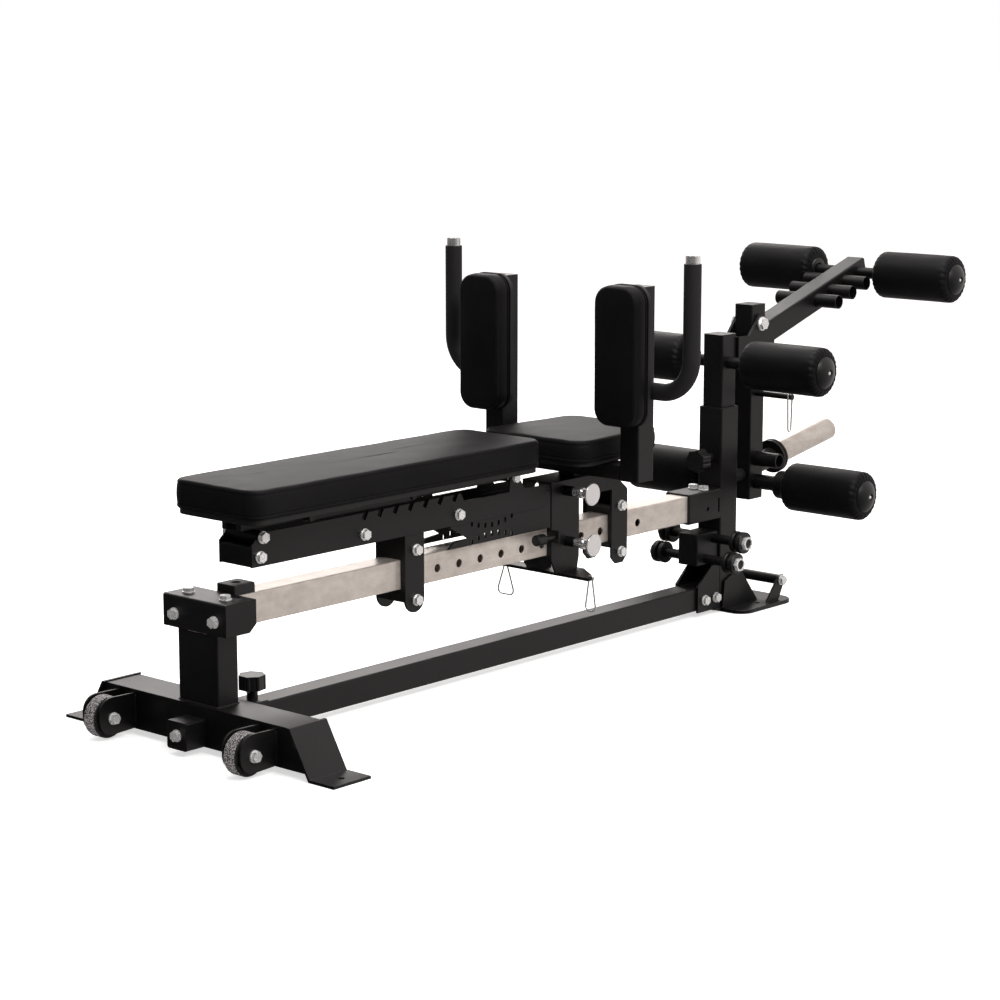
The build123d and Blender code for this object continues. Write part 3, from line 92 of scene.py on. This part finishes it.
def add_area_light(name, place, target, size, power, tint):
    """Rectangular light that faces a target."""
    data = bpy.data.lights.new(name, "AREA")
    data.shape = "RECTANGLE"
    data.size, data.size_y = size
    data.energy = power
    data.color = tint
    light = bpy.data.objects.new(name, data)
    light.location = place
    light.rotation_euler = (Vector(target) - Vector(place)).to_track_quat("-Z", "Y").to_euler()
    bpy.context.collection.objects.link(light)


def add_world():
    """Surround that brightens towards the tower end and overhead, with plain white behind."""
    world = bpy.data.worlds.new("studio")
    bpy.context.scene.world = world
    world.use_nodes = True
    tree = world.node_tree
    tree.nodes.clear()
    coords = tree.nodes.new("ShaderNodeTexCoord")
    lean = tree.nodes.new("ShaderNodeVectorMath")
    lean.operation = "DOT_PRODUCT"
    lean.inputs[1].default_value = sky_lean
    shift = tree.nodes.new("ShaderNodeMath")
    shift.inputs[1].default_value = 0.5
    ramp = tree.nodes.new("ShaderNodeValToRGB")
    ramp.color_ramp.elements[0].position = sky_dark_at
    ramp.color_ramp.elements[0].color = sky_dark
    ramp.color_ramp.elements[1].position = sky_bright_at
    ramp.color_ramp.elements[1].color = sky_bright
    soft = tree.nodes.new("ShaderNodeBackground")
    soft.inputs["Strength"].default_value = 1.0
    white = tree.nodes.new("ShaderNodeBackground")
    white.inputs["Color"].default_value = (1, 1, 1, 1)
    white.inputs["Strength"].default_value = 1.0
    path = tree.nodes.new("ShaderNodeLightPath")
    mix = tree.nodes.new("ShaderNodeMixShader")
    out = tree.nodes.new("ShaderNodeOutputWorld")
    link = tree.links.new
    link(coords.outputs["Generated"], lean.inputs[0])
    link(lean.outputs["Value"], shift.inputs[0])
    link(shift.outputs[0], ramp.inputs[0])
    link(ramp.outputs["Color"], soft.inputs["Color"])
    link(path.outputs["Is Camera Ray"], mix.inputs[0])
    link(soft.outputs[0], mix.inputs[1])
    link(white.outputs[0], mix.inputs[2])
    link(mix.outputs[0], out.inputs[0])


def add_floor():
    """Wide pale floor that looks brighter to the camera than it shines on the chair."""
    mesh = bpy.data.meshes.new("floor")
    reach = floor_reach
    corners = [(-reach, -reach, 0), (reach, -reach, 0), (reach, reach, 0), (-reach, reach, 0)]
    mesh.from_pydata(corners, [], [(0, 1, 2, 3)])
    floor = bpy.data.objects.new("floor", mesh)
    floor.location.z = -floor_drop
    bpy.context.collection.objects.link(floor)
    paint = bpy.data.materials.new("floor_paint")
    paint.use_nodes = True
    shader = paint.node_tree.nodes["Principled BSDF"]
    shader.inputs["Base Color"].default_value = (0.93, 0.93, 0.93, 1)
    shader.inputs["Roughness"].default_value = 0.9
    shader.inputs["Specular IOR Level"].default_value = 0.1
    tree = paint.node_tree
    path = tree.nodes.new("ShaderNodeLightPath")
    lift = tree.nodes.new("ShaderNodeEmission")
    strength = tree.nodes.new("ShaderNodeMath")
    strength.operation = "MULTIPLY"
    strength.inputs[1].default_value = floor_glow
    both = tree.nodes.new("ShaderNodeAddShader")
    tree.links.new(path.outputs["Is Camera Ray"], strength.inputs[0])
    tree.links.new(strength.outputs[0], lift.inputs["Strength"])
    tree.links.new(shader.outputs[0], both.inputs[0])
    tree.links.new(lift.outputs[0], both.inputs[1])
    tree.links.new(both.outputs[0], tree.nodes["Material Output"].inputs["Surface"])
    mesh.materials.append(paint)
    floor.visible_glossy = False


add_camera()
add_world()
add_floor()
add_area_light("key", (-1.0, -3.4, 3.4), (0.1, 0, 0.3), (2.6, 1.4), 105, (1.0, 0.985, 0.97))
add_area_light("back", (2.2, 3.2, 2.2), (0.2, 0, 0.4), (3.6, 1.2), 60, (1.0, 0.96, 0.94))
add_area_light("top", (0.3, 0.2, 3.6), (0.2, 0, 0), (3.2, 2.0), 95, (1.0, 0.985, 0.975))
bpy.context.scene.view_settings.view_transform = "Standard"
bpy.context.scene.view_settings.look = "None"

# ---------------------------------------------------------------- materials


def new_material(name, color, roughness, metallic=0.0):
    """A Principled material, with its node tree and shader."""
    material = bpy.data.materials.new(name)
    material.use_nodes = True
    shader = material.node_tree.nodes["Principled BSDF"]
    shader.inputs["Base Color"].default_value = (*color, 1)
    shader.inputs["Roughness"].default_value = roughness
    shader.inputs["Metallic"].default_value = metallic
    return material, material.node_tree, shader


def texture(tree, kind, scale, stretch=(1, 1, 1), **settings):
    """A texture node over the object's own coordinates, in metres."""
    coords = tree.nodes.new("ShaderNodeTexCoord")
    mapping = tree.nodes.new("ShaderNodeMapping")
    mapping.inputs["Scale"].default_value = stretch
    node = tree.nodes.new(kind)
    node.inputs["Scale"].default_value = scale
    for key, value in settings.items():
        node.inputs[key.replace("_", " ")].default_value = value
    tree.links.new(coords.outputs["Object"], mapping.inputs["Vector"])
    tree.links.new(mapping.outputs["Vector"], node.inputs["Vector"])
    return node


def ramp_between(tree, source, low, high, colors):
    """A colour ramp from one place to another along a texture's value."""
    ramp = tree.nodes.new("ShaderNodeValToRGB")
    ramp.color_ramp.elements[0].position = low
    ramp.color_ramp.elements[0].color = (*colors[0], 1)
    ramp.color_ramp.elements[1].position = high
    ramp.color_ramp.elements[1].color = (*colors[1], 1)
    tree.links.new(source, ramp.inputs[0])
    return ramp.outputs["Color"]


def multiply(tree, first, second):
    """The product of two colours."""
    blend = tree.nodes.new("ShaderNodeMix")
    blend.data_type = "RGBA"
    blend.blend_type = "MULTIPLY"
    blend.inputs["Factor"].default_value = 1.0
    tree.links.new(first, blend.inputs["A"])
    tree.links.new(second, blend.inputs["B"])
    return blend.outputs["Result"]


def vary_roughness(tree, shader, source, low, high):
    """Roughness that follows a texture between two values."""
    span = tree.nodes.new("ShaderNodeMapRange")
    span.inputs["To Min"].default_value = low
    span.inputs["To Max"].default_value = high
    tree.links.new(source, span.inputs["Value"])
    tree.links.new(span.outputs["Result"], shader.inputs["Roughness"])


def add_bump(tree, shader, source, strength, depth, edge=0.0):
    """Bump from a texture, over edges that look rounded by the given radius."""
    bump = tree.nodes.new("ShaderNodeBump")
    bump.inputs["Strength"].default_value = strength
    bump.inputs["Distance"].default_value = depth
    tree.links.new(source, bump.inputs["Height"])
    if edge:
        bevel = tree.nodes.new("ShaderNodeBevel")
        bevel.samples = 4
        bevel.inputs["Radius"].default_value = edge
        tree.links.new(bevel.outputs["Normal"], bump.inputs["Normal"])
    tree.links.new(bump.outputs["Normal"], shader.inputs["Normal"])


def powder_coat():
    """Satin black powder coat with a fine orange-peel skin."""
    material, tree, shader = new_material("powder_coat", (0.004, 0.0037, 0.004), 0.38)
    skin = texture(tree, "ShaderNodeTexNoise", 1400, Detail=3)
    broad = texture(tree, "ShaderNodeTexNoise", 9, Detail=4)
    tone = ramp_between(
        tree, broad.outputs["Fac"], 0.3, 0.75, ((0.0032, 0.0029, 0.0031), (0.0060, 0.0054, 0.0058))
    )
    tree.links.new(tone, shader.inputs["Base Color"])
    vary_roughness(tree, shader, broad.outputs["Fac"], 0.33, 0.47)
    add_bump(tree, shader, skin.outputs["Fac"], 0.2, 0.00022, 0.0012)
    shader.inputs["Specular IOR Level"].default_value = 0.42
    return material


def vinyl(name, tone, grain_size, roughness, gloss):
    """Black upholstery vinyl with a fine pebbled grain."""
    material, tree, shader = new_material(name, tone, roughness)
    grain = texture(tree, "ShaderNodeTexVoronoi", 1 / grain_size)
    broad = texture(tree, "ShaderNodeTexNoise", 5, Detail=3)
    darker = tuple(0.75 * part for part in tone)
    lighter = tuple(1.35 * part for part in tone)
    mottle = ramp_between(tree, broad.outputs["Fac"], 0.3, 0.7, (darker, lighter))
    tree.links.new(mottle, shader.inputs["Base Color"])
    vary_roughness(tree, shader, broad.outputs["Fac"], roughness - 0.05, roughness + 0.06)
    add_bump(tree, shader, grain.outputs["Distance"], 0.32, 0.00035)
    shader.inputs["Specular IOR Level"].default_value = gloss
    return material


def foam():
    """Closed-cell foam with fine pores."""
    material, tree, shader = new_material("grip_foam", (0.014, 0.013, 0.014), 0.66)
    pores = texture(tree, "ShaderNodeTexNoise", 900, Detail=5)
    add_bump(tree, shader, pores.outputs["Fac"], 0.35, 0.0005)
    vary_roughness(tree, shader, pores.outputs["Fac"], 0.55, 0.75)
    shader.inputs["Specular IOR Level"].default_value = 0.3
    return material


def brushed_rail():
    """Rail steel with long brush lines and faint warm clouds."""
    material, tree, shader = new_material("rail_steel", (0.6, 0.56, 0.51), 0.3, 0.45)
    lines = texture(tree, "ShaderNodeTexNoise", 240, (0.03, 1, 1), Detail=4)
    clouds = texture(tree, "ShaderNodeTexNoise", 26, (1, 1, 1.6), Detail=7, Roughness=0.62)
    cloudy = ramp_between(
        tree, clouds.outputs["Fac"], 0.2, 0.85, ((0.50, 0.435, 0.385), (0.80, 0.755, 0.705))
    )
    streaks = ramp_between(
        tree, lines.outputs["Fac"], 0.25, 0.8, ((0.90, 0.89, 0.88), (1.0, 1.0, 1.0))
    )
    tree.links.new(multiply(tree, cloudy, streaks), shader.inputs["Base Color"])
    vary_roughness(tree, shader, clouds.outputs["Fac"], 0.26, 0.42)
    add_bump(tree, shader, lines.outputs["Fac"], 0.1, 0.0003, 0.0012)
    return material


def bright_metal(name, tone, metallic, rough_low, rough_high, edge):
    """Plated metal with faint wear."""
    material, tree, shader = new_material(name, tone, rough_low, metallic)
    wear = texture(tree, "ShaderNodeTexNoise", 90, Detail=4)
    vary_roughness(tree, shader, wear.outputs["Fac"], rough_low, rough_high)
    add_bump(tree, shader, wear.outputs["Fac"], 0.06, 0.0004, edge)
    return material


def moulded_plastic(name, tone, roughness, depth):
    """Moulded plastic or rubber with a fine spark-eroded texture."""
    material, tree, shader = new_material(name, tone, roughness)
    spark = texture(tree, "ShaderNodeTexNoise", 1100, Detail=3)
    vary_roughness(tree, shader, spark.outputs["Fac"], roughness - 0.06, roughness + 0.06)
    add_bump(tree, shader, spark.outputs["Fac"], 0.3, depth, 0.001)
    return material


def wheel_material():
    """Tyre compound, pale and speckled by wear on the tread and near black on the flanks."""
    material, tree, shader = new_material("wheel_rubber", (0.12, 0.12, 0.125), 0.75)
    flecks = texture(tree, "ShaderNodeTexNoise", 430, Detail=3)
    speckled = ramp_between(
        tree, flecks.outputs["Fac"], 0.47, 0.56, ((0.03, 0.027, 0.029), (0.42, 0.395, 0.40))
    )
    facing = tree.nodes.new("ShaderNodeNewGeometry")
    split = tree.nodes.new("ShaderNodeSeparateXYZ")
    flank = tree.nodes.new("ShaderNodeMath")
    flank.operation = "ABSOLUTE"
    tree.links.new(facing.outputs["Normal"], split.inputs[0])
    tree.links.new(split.outputs["Y"], flank.inputs[0])
    worn = ramp_between(tree, flank.outputs[0], 0.55, 0.85, ((1, 1, 1), (0.06, 0.06, 0.06)))
    tree.links.new(multiply(tree, speckled, worn), shader.inputs["Base Color"])
    add_bump(tree, shader, flecks.outputs["Fac"], 0.6, 0.0008, 0.001)
    return material


finishes = {
    "frame_black": powder_coat(),
    "rail_steel": brushed_rail(),
    "tube_chrome": bright_metal("tube_chrome", (0.88, 0.87, 0.86), 0.8, 0.1, 0.2, 0.0006),
    "bolt_zinc": bright_metal("bolt_zinc", (0.86, 0.86, 0.85), 0.55, 0.2, 0.34, 0.0008),
    "pad_vinyl": vinyl("pad_vinyl", (0.0052, 0.0049, 0.0058), 0.0013, 0.5, 0.1),
    "foam_sleeve": vinyl("roller_vinyl", (0.0040, 0.0038, 0.0043), 0.0011, 0.46, 0.13),
    "grip_foam": foam(),
    "knob_plastic": moulded_plastic("knob_plastic", (0.006, 0.006, 0.0062), 0.34, 0.0002),
    "bumper_rubber": moulded_plastic("bumper_rubber", (0.008, 0.0076, 0.0078), 0.55, 0.0003),
    "wheel_rubber": wheel_material(),
    "board_black": moulded_plastic("board_black", (0.006, 0.006, 0.006), 0.6, 0.0003),
    "liner_nylon": moulded_plastic("liner_nylon", (0.02, 0.02, 0.02), 0.5, 0.0002),
}
for entry in frame["record"]["subparts"]:
    mesh = nodes[entry["node"]].data
    mesh.materials.clear()
    mesh.materials.append(finishes[entry["material_slot"]])

# ---------------------------------------------------------------- mesh helpers


def finish_mesh(name, verts, faces, slot, node, sharp_deg=40.0):
    """Make an object from a mesh, give it its finish and let it ride with a CAD node's body."""
    mesh = bpy.data.meshes.new(name)
    mesh.from_pydata([tuple(v) for v in verts], [], faces)
    mesh.validate()
    mesh.shade_smooth()
    mesh.set_sharp_from_angle(angle=math.radians(sharp_deg))
    mesh.materials.append(finishes[slot])
    piece = bpy.data.objects.new(name, mesh)
    bpy.context.collection.objects.link(piece)
    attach(piece, body_of_node[node])
    return piece


def loft(rings, close_start=True, close_end=True):
    """Faces between rings of equally many points, with the two ends closed."""
    count = len(rings[0])
    verts = [point for ring in rings for point in ring]
    faces = []
    for row in range(len(rings) - 1):
        for i in range(count):
            j = (i + 1) % count
            a, b = row * count, (row + 1) * count
            faces.append((a + i, a + j, b + j, b + i))
    if close_start:
        faces.append(tuple(reversed(range(count))))
    if close_end:
        faces.append(tuple(range((len(rings) - 1) * count, len(rings) * count)))
    return verts, faces


def inset_corners(corners, depth):
    """Corners of a convex outline, listed anticlockwise, after moving its sides inwards."""
    moved = []
    for i, corner in enumerate(corners):
        before = (corner - corners[i - 1]).normalized()
        after = (corners[(i + 1) % len(corners)] - corner).normalized()
        left_before = Vector((-before.y, before.x))
        left_after = Vector((-after.y, after.x))
        moved.append(corner + (left_before + left_after) * depth / (1 + left_before.dot(left_after)))
    return moved


def turned(arm, angle):
    """A flat vector after a turn."""
    across, up = math.cos(angle), math.sin(angle)
    return Vector((arm.x * across - arm.y * up, arm.x * up + arm.y * across))


def outline(corners, depth, radius, arc_steps=10, side_steps=28):
    """Rounded outline at an inset, with the same number of points at every inset."""
    corners = inset_corners(corners, depth)
    radius = max(radius - depth, 0.002)
    arcs = []
    for i, corner in enumerate(corners):
        before = (corner - corners[i - 1]).normalized()
        after = (corners[(i + 1) % len(corners)] - corner).normalized()
        turn = before.angle(after)
        start = corner - before * radius * math.tan(turn / 2)
        centre = start + Vector((-before.y, before.x)) * radius
        turns = [turn * k / arc_steps for k in range(arc_steps + 1)]
        arcs.append([centre + turned(start - centre, a) for a in turns])
    points = []
    for i, arc in enumerate(arcs):
        points += arc
        end, begin = arc[-1], arcs[(i + 1) % len(arcs)][0]
        points += [end.lerp(begin, k / side_steps) for k in range(1, side_steps)]
    return points


def tube_round(points, radius, lift, segments=8):
    """Closed tube that follows a closed, level line of points at a height."""
    rings = []
    axis = Vector((0, 0, 1))
    for i, point in enumerate(points):
        along = (points[(i + 1) % len(points)] - points[i - 1]).normalized()
        out = along.cross(axis)
        ring = []
        for k in range(segments):
            a = 2 * math.pi * k / segments
            level = point + axis * lift + out * radius * math.cos(a)
            ring.append(level + axis * radius * math.sin(a))
        rings.append(ring)
    rings.append(rings[0])
    return loft(rings, False, False)


def lathe(profile, centre, direction, segments=96, ripple=None):
    """Turn (distance along, radius) pairs about an axis along +Y or -Y through a centre."""
    rings = []
    for along, radius in profile:
        ring = []
        for k in range(segments):
            a = 2 * math.pi * k / segments * direction
            r = radius + (ripple(along, a) if ripple else 0.0)
            ring.append(centre + Vector((r * math.cos(a), direction * along, -r * math.sin(a))))
        rings.append(ring)
    return loft(rings)


# ---------------------------------------------------------------- upholstered pads

piping_radius = 1.9 * MM
piping_inset = 0.2 * MM
edge_roll = 6.5 * MM
side_bulge = 1.6 * MM
seam_groove = 0.9 * MM
seam_half = 1.6 * MM
seam_lip = 0.4 * MM
surface_sway = 0.7 * MM
sway_below_top = 4 * MM
board_inset = 4 * MM
stitch_above_seam = 3.2 * MM
stitch_pitch = 5.5 * MM
stitch_length = 3.6 * MM
stitch_radius = 0.55 * MM
stitch_sides = 6
stitch_shape = ((-0.5, 0.35), (-0.25, 1.0), (0.25, 1.0), (0.5, 0.35))  # along, share of radius


def add_stitches(name, line, up, place, node):
    """A row of short stitches along a closed line."""
    verts, faces = [], []
    travelled, next_stitch = 0.0, 0.0
    for i, point in enumerate(line):
        ahead = line[(i + 1) % len(line)]
        along = (ahead - point).normalized()
        run = (ahead - point).length
        out = along.cross(up)
        turns = [2 * math.pi * k / stitch_sides for k in range(stitch_sides)]
        spokes = [out * math.cos(a) + up * math.sin(a) for a in turns]
        while next_stitch < travelled + run:
            middle = point + along * (next_stitch - travelled)
            rings = []
            for t, grow in stitch_shape:
                station = middle + along * stitch_length * t
                rings.append([place(station + spoke * stitch_radius * grow) for spoke in spokes])
            stitch_verts, stitch_faces = loft(rings)
            faces += [tuple(len(verts) + corner for corner in face) for face in stitch_faces]
            verts += stitch_verts
            next_stitch += stitch_pitch
        travelled += run
    return finish_mesh(name, verts, faces, "pad_vinyl", node)


def pad_profile(top, crown, board, piping_at, seam_at, deepest):
    """Inset and height pairs: up the side past piping and seam, over the edge, to the middle."""
    profile = [(6 * MM, board), (1.5 * MM, board + 1.2 * MM), (0.2 * MM, piping_at - 2.4 * MM)]
    profile += [(1.0 * MM, piping_at), (-0.2 * MM, piping_at + 2.6 * MM)]
    for k in range(1, 6):
        t = k / 6
        bulge = side_bulge * math.sin(math.pi * t)
        profile.append((-bulge, piping_at + (seam_at - piping_at) * t))
    profile += [(0.1 * MM, seam_at - seam_half), (seam_groove, seam_at)]
    profile.append((seam_lip, seam_at + seam_half))
    rise = top - (seam_at + seam_half)
    for k in range(1, 7):
        a = math.pi / 2 * k / 6
        profile.append((seam_lip + edge_roll * (1 - math.cos(a)), seam_at + seam_half + rise * math.sin(a)))
    for k in range(1, 15):
        t = k / 14
        inset = edge_roll + (deepest - edge_roll) * t
        profile.append((inset, top + crown * (1 - (1 - t) ** 2.2)))
    return profile


def upholster(node, corners, radius, thickness, place, crown, board, piping_at, seam_at):
    """A board, a crowned foam pad under vinyl, its piping and its stitched top seam.

    Corners are in the pad's own plane, and place() maps (across, along, height) to the chair."""
    sides = [(corners[(i + 1) % len(corners)] - corner).length for i, corner in enumerate(corners)]
    half_width = min(sides) / 2
    top = thickness - crown
    rings = []
    for inset, height in pad_profile(top, crown, board, piping_at, seam_at, 0.9 * half_width):
        soft = min(max((height - board) / (6 * MM), 0.0), 1.0)
        loose = soft * (height > top - sway_below_top)
        ring = []
        for point in outline(corners, inset, radius):
            sway = noise.noise(Vector((point.x * 22, point.y * 22, height * 40))) * surface_sway
            ring.append(place(Vector((point.x, point.y, height + sway * loose))))
        rings.append(ring)
    verts, faces = loft(rings)
    pad = finish_mesh(f"{node}_cover", verts, faces, "pad_vinyl", node, 80)
    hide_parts(node)

    edge = [Vector((p.x, p.y, 0)) for p in outline(corners, piping_inset, radius)]
    verts, faces = tube_round(edge, piping_radius, piping_at)
    finish_mesh(f"{node}_piping", [place(v) for v in verts], faces, "pad_vinyl", node, 80)
    stitch_at = seam_at + stitch_above_seam
    seam = [Vector((p.x, p.y, stitch_at)) for p in outline(corners, seam_lip, radius)]
    add_stitches(f"{node}_stitches", seam, Vector((0, 0, 1)), place, node)
    if board:
        eased = (board_inset + 1 * MM, 0)
        levels = (eased, (board_inset, 0.8 * MM), (board_inset, board + 1 * MM))
        rings = [
            [place(Vector((p.x, p.y, height))) for p in outline(corners, inset, radius)]
            for inset, height in levels
        ]
        verts, faces = loft(rings)
        finish_mesh(f"{node}_board", verts, faces, "board_black", node)


def flat_pad(node, radius, crown, board, piping_at, seam_at, rear_taper=0.0):
    """A pad lying flat, whose rear end may be narrower by a taper on each side."""
    low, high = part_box(node)
    corners = [
        Vector((low.x, low.y)),
        Vector((high.x, low.y + rear_taper)),
        Vector((high.x, high.y - rear_taper)),
        Vector((low.x, high.y)),
    ]

    def place(p):
        return Vector((p.x, p.y, low.z + p.z))

    upholster(node, corners, radius, high.z - low.z, place, crown, board, piping_at, seam_at)


def upright_pad(node, radius, crown, piping_at, seam_at):
    """A pad standing on its end and facing the front of the bench, with no board."""
    low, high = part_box(node)
    corners = [
        Vector((-low.y, high.z)),
        Vector((-high.y, high.z)),
        Vector((-high.y, low.z)),
        Vector((-low.y, low.z)),
    ]

    def place(p):
        return Vector((high.x - p.z, -p.x, p.y))

    upholster(node, corners, radius, high.x - low.x, place, crown, 0.0, piping_at, seam_at)


flat_pad(
    "back_pad", radius=30 * MM, crown=4 * MM, board=9 * MM, piping_at=15 * MM, seam_at=54 * MM
)
flat_pad(
    "seat_pad",
    radius=38 * MM,
    crown=3.5 * MM,
    board=6 * MM,
    piping_at=13 * MM,
    seam_at=43 * MM,
    rear_taper=22 * MM,
)
for side in ("near", "far"):
    upright_pad(
        f"split_pad_{side}", radius=33 * MM, crown=3 * MM, piping_at=5 * MM, seam_at=31 * MM
    )

# ---------------------------------------------------------------- foam rollers

roller_segments = 144
sleeve_steps = 18
cover_slack = 0.4 * MM
cap_space = 15 * MM
gather_count = 24
gather_depth = 3.8 * MM
gather_reach = 14 * MM
end_roll = 12 * MM
end_drop = 16 * MM
end_steps = 10
end_face_radius = 29 * MM
cap_radius = 33 * MM
cap_rise = 12.5 * MM
cap_steps = 11
dish_radius = 0.22 * cap_radius

# Turned outlines in millimetres: distance outwards along the axle, then radius.
ring_outline = ((1.8, 27), (-1.6, 25.5), (-2.4, 22), (-2.4, 15.5), (1.5, 13.2))
screw_outline = ((-3.4, 3.6), (-1.6, 3.4), (-0.9, 2.0), (-0.8, 0.6))


def gathers(length):
    """Ripple of a cover that is drawn together at both ends of a roller."""

    def ripple(along, angle):
        end = min(along, length - along)
        pull = max(0.0, 1 - end / gather_reach)
        waver = 1.7 * noise.noise(Vector((angle, along * 30, 0)))
        fold = abs(math.sin(gather_count * angle / 2 + waver))
        round_place = Vector((math.cos(angle) * 2, math.sin(angle) * 2, along * 18))
        loose = noise.noise(round_place) * 0.5 * MM
        return loose * (1 - pull) - gather_depth * pull * (1 - fold**0.6)

    return ripple


def sleeve_profile(length, radius):
    """Distance and radius pairs: inner end, rolled edge, straight side, and out again."""
    turns = [math.pi / 2 * k / end_steps for k in range(1, end_steps)]
    rolled = [
        (end_roll * (1 - math.cos(a)), radius - end_drop * (1 - math.sin(a))) for a in turns
    ]
    straight = length - 2 * end_roll
    side_line = [(end_roll + straight * k / sleeve_steps, radius) for k in range(sleeve_steps + 1)]
    inner_end = [(2.0 * MM, 13.5 * MM), (1.2 * MM, 22 * MM), (0.3 * MM, end_face_radius)]
    outer_end = [(length - 0.3 * MM, end_face_radius), (length - 2.5 * MM, 20 * MM)]
    rolled_out = [(length - along, r) for along, r in reversed(rolled)]
    return inner_end + rolled + side_line + rolled_out + outer_end


def cap_profile(rim):
    """Domed end cap from its skirt to the dish round its screw, and the place of its tip."""
    ball = (cap_radius**2 + cap_rise**2) / (2 * cap_rise)
    widest = math.asin(cap_radius / ball)
    profile = [(rim - 4.5 * MM, cap_radius - 4 * MM), (rim - 1.6 * MM, cap_radius - 0.6 * MM)]
    profile.append((rim, cap_radius))
    for k in range(1, cap_steps):
        a = widest * (1 - k / cap_steps)
        across = ball * math.sin(a)
        if across > dish_radius:
            profile.append((rim + ball * (math.cos(a) - math.cos(widest)), across))
    tip = rim + ball * (math.cos(math.asin(dish_radius / ball)) - math.cos(widest))
    profile.append((tip, dish_radius))
    profile += [(tip - 0.6 * MM, dish_radius - 0.8 * MM), (tip - 3 * MM, dish_radius - 1.2 * MM)]
    return profile, tip


def foam_roller(node):
    """A roller under a vinyl cover, gathered at both ends round its end caps."""
    low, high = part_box(node)
    direction = 1 if low.y > 0 else -1
    inner_y = low.y if direction > 0 else high.y
    centre = Vector(((low.x + high.x) / 2, inner_y, (low.z + high.z) / 2))
    radius = (high.z - low.z) / 2 - cover_slack
    length = (high.y - low.y) - cap_space

    def turned_piece(label, profile, segments, slot, sharp_deg):
        verts, faces = lathe(profile, centre, direction, segments)
        finish_mesh(f"{node}_{label}", verts, faces, slot, node, sharp_deg)

    profile = sleeve_profile(length, radius)
    verts, faces = lathe(profile, centre, direction, roller_segments, gathers(length))
    cover = finish_mesh(f"{node}_cover", verts, faces, "foam_sleeve", node, 70)
    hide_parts(node)

    profile, tip = cap_profile(length + 1.0 * MM)
    turned_piece("cap", profile, 64, "knob_plastic", 50)
    profile = [(tip + along * MM, r * MM) for along, r in screw_outline]
    turned_piece("cap_screw", profile, 32, "bolt_zinc", 30)
    profile = [(along * MM, r * MM) for along, r in ring_outline]
    turned_piece("inner_ring", profile, 64, "knob_plastic", 40)


for row in ("top", "middle", "low"):
    for side in ("near", "far"):
        foam_roller(f"roller_{row}_{side}")

# ---------------------------------------------------------------- weld beads

bead_radius = 2.2 * MM
bead_pitch = 3.4 * MM
bead_sides = 8
ear_beside_wheel = 9.5 * MM
ear_weld_from = 14 * MM
ear_weld_short = 5 * MM
beam_before_post = 8 * MM


def weld_bead(name, start, end, node):
    """A straight, rippled weld bead between two points."""
    start, end = Vector(start), Vector(end)
    along = (end - start).normalized()
    side = along.orthogonal().normalized()
    up = along.cross(side)
    turns = [2 * math.pi * j / bead_sides for j in range(bead_sides)]
    steps = max(4, round((end - start).length / (bead_pitch / 3)))
    rings = []
    for k in range(steps + 1):
        travelled = (end - start).length * k / steps
        swell = 0.78 + 0.22 * abs(math.sin(math.pi * travelled / bead_pitch))
        swell *= 1 + 0.15 * noise.noise(Vector((travelled * 160, start.x * 9, start.y * 9)))
        radius = bead_radius * swell * (0.5 if k in (0, steps) else 1.0)
        middle = start + along * travelled
        rings.append(
            [middle + side * radius * math.cos(a) + up * radius * math.sin(a) for a in turns]
        )
    verts, faces = loft(rings)
    finish_mesh(name, verts, faces, "frame_black", node, 80)


def weld_foot(name, node):
    """Beads round the foot of an upright tube."""
    low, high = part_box(node)
    corners = [(low.x, low.y), (high.x, low.y), (high.x, high.y), (low.x, high.y)]
    for n, (x, y) in enumerate(corners):
        next_x, next_y = corners[(n + 1) % len(corners)]
        weld_bead(f"{name}_{n}", (x, y, low.z), (next_x, next_y, low.z), node)


weld_foot("post_weld", "front_post")
weld_foot("tower_weld", "tower_tube")
ear_x = post_low.x - beam_before_post
for side in ("near", "far"):
    wheel_low, wheel_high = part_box(f"wheel_{side}")
    foot_z = wheel_low.z + ear_weld_from
    head_z = wheel_high.z - ear_weld_short
    for label, y in (
        ("in", wheel_low.y - ear_beside_wheel),
        ("out", wheel_high.y + ear_beside_wheel),
    ):
        weld_bead(f"ear_weld_{side}_{label}", (ear_x, y, foot_z), (ear_x, y, head_z), "front_crossbeam")
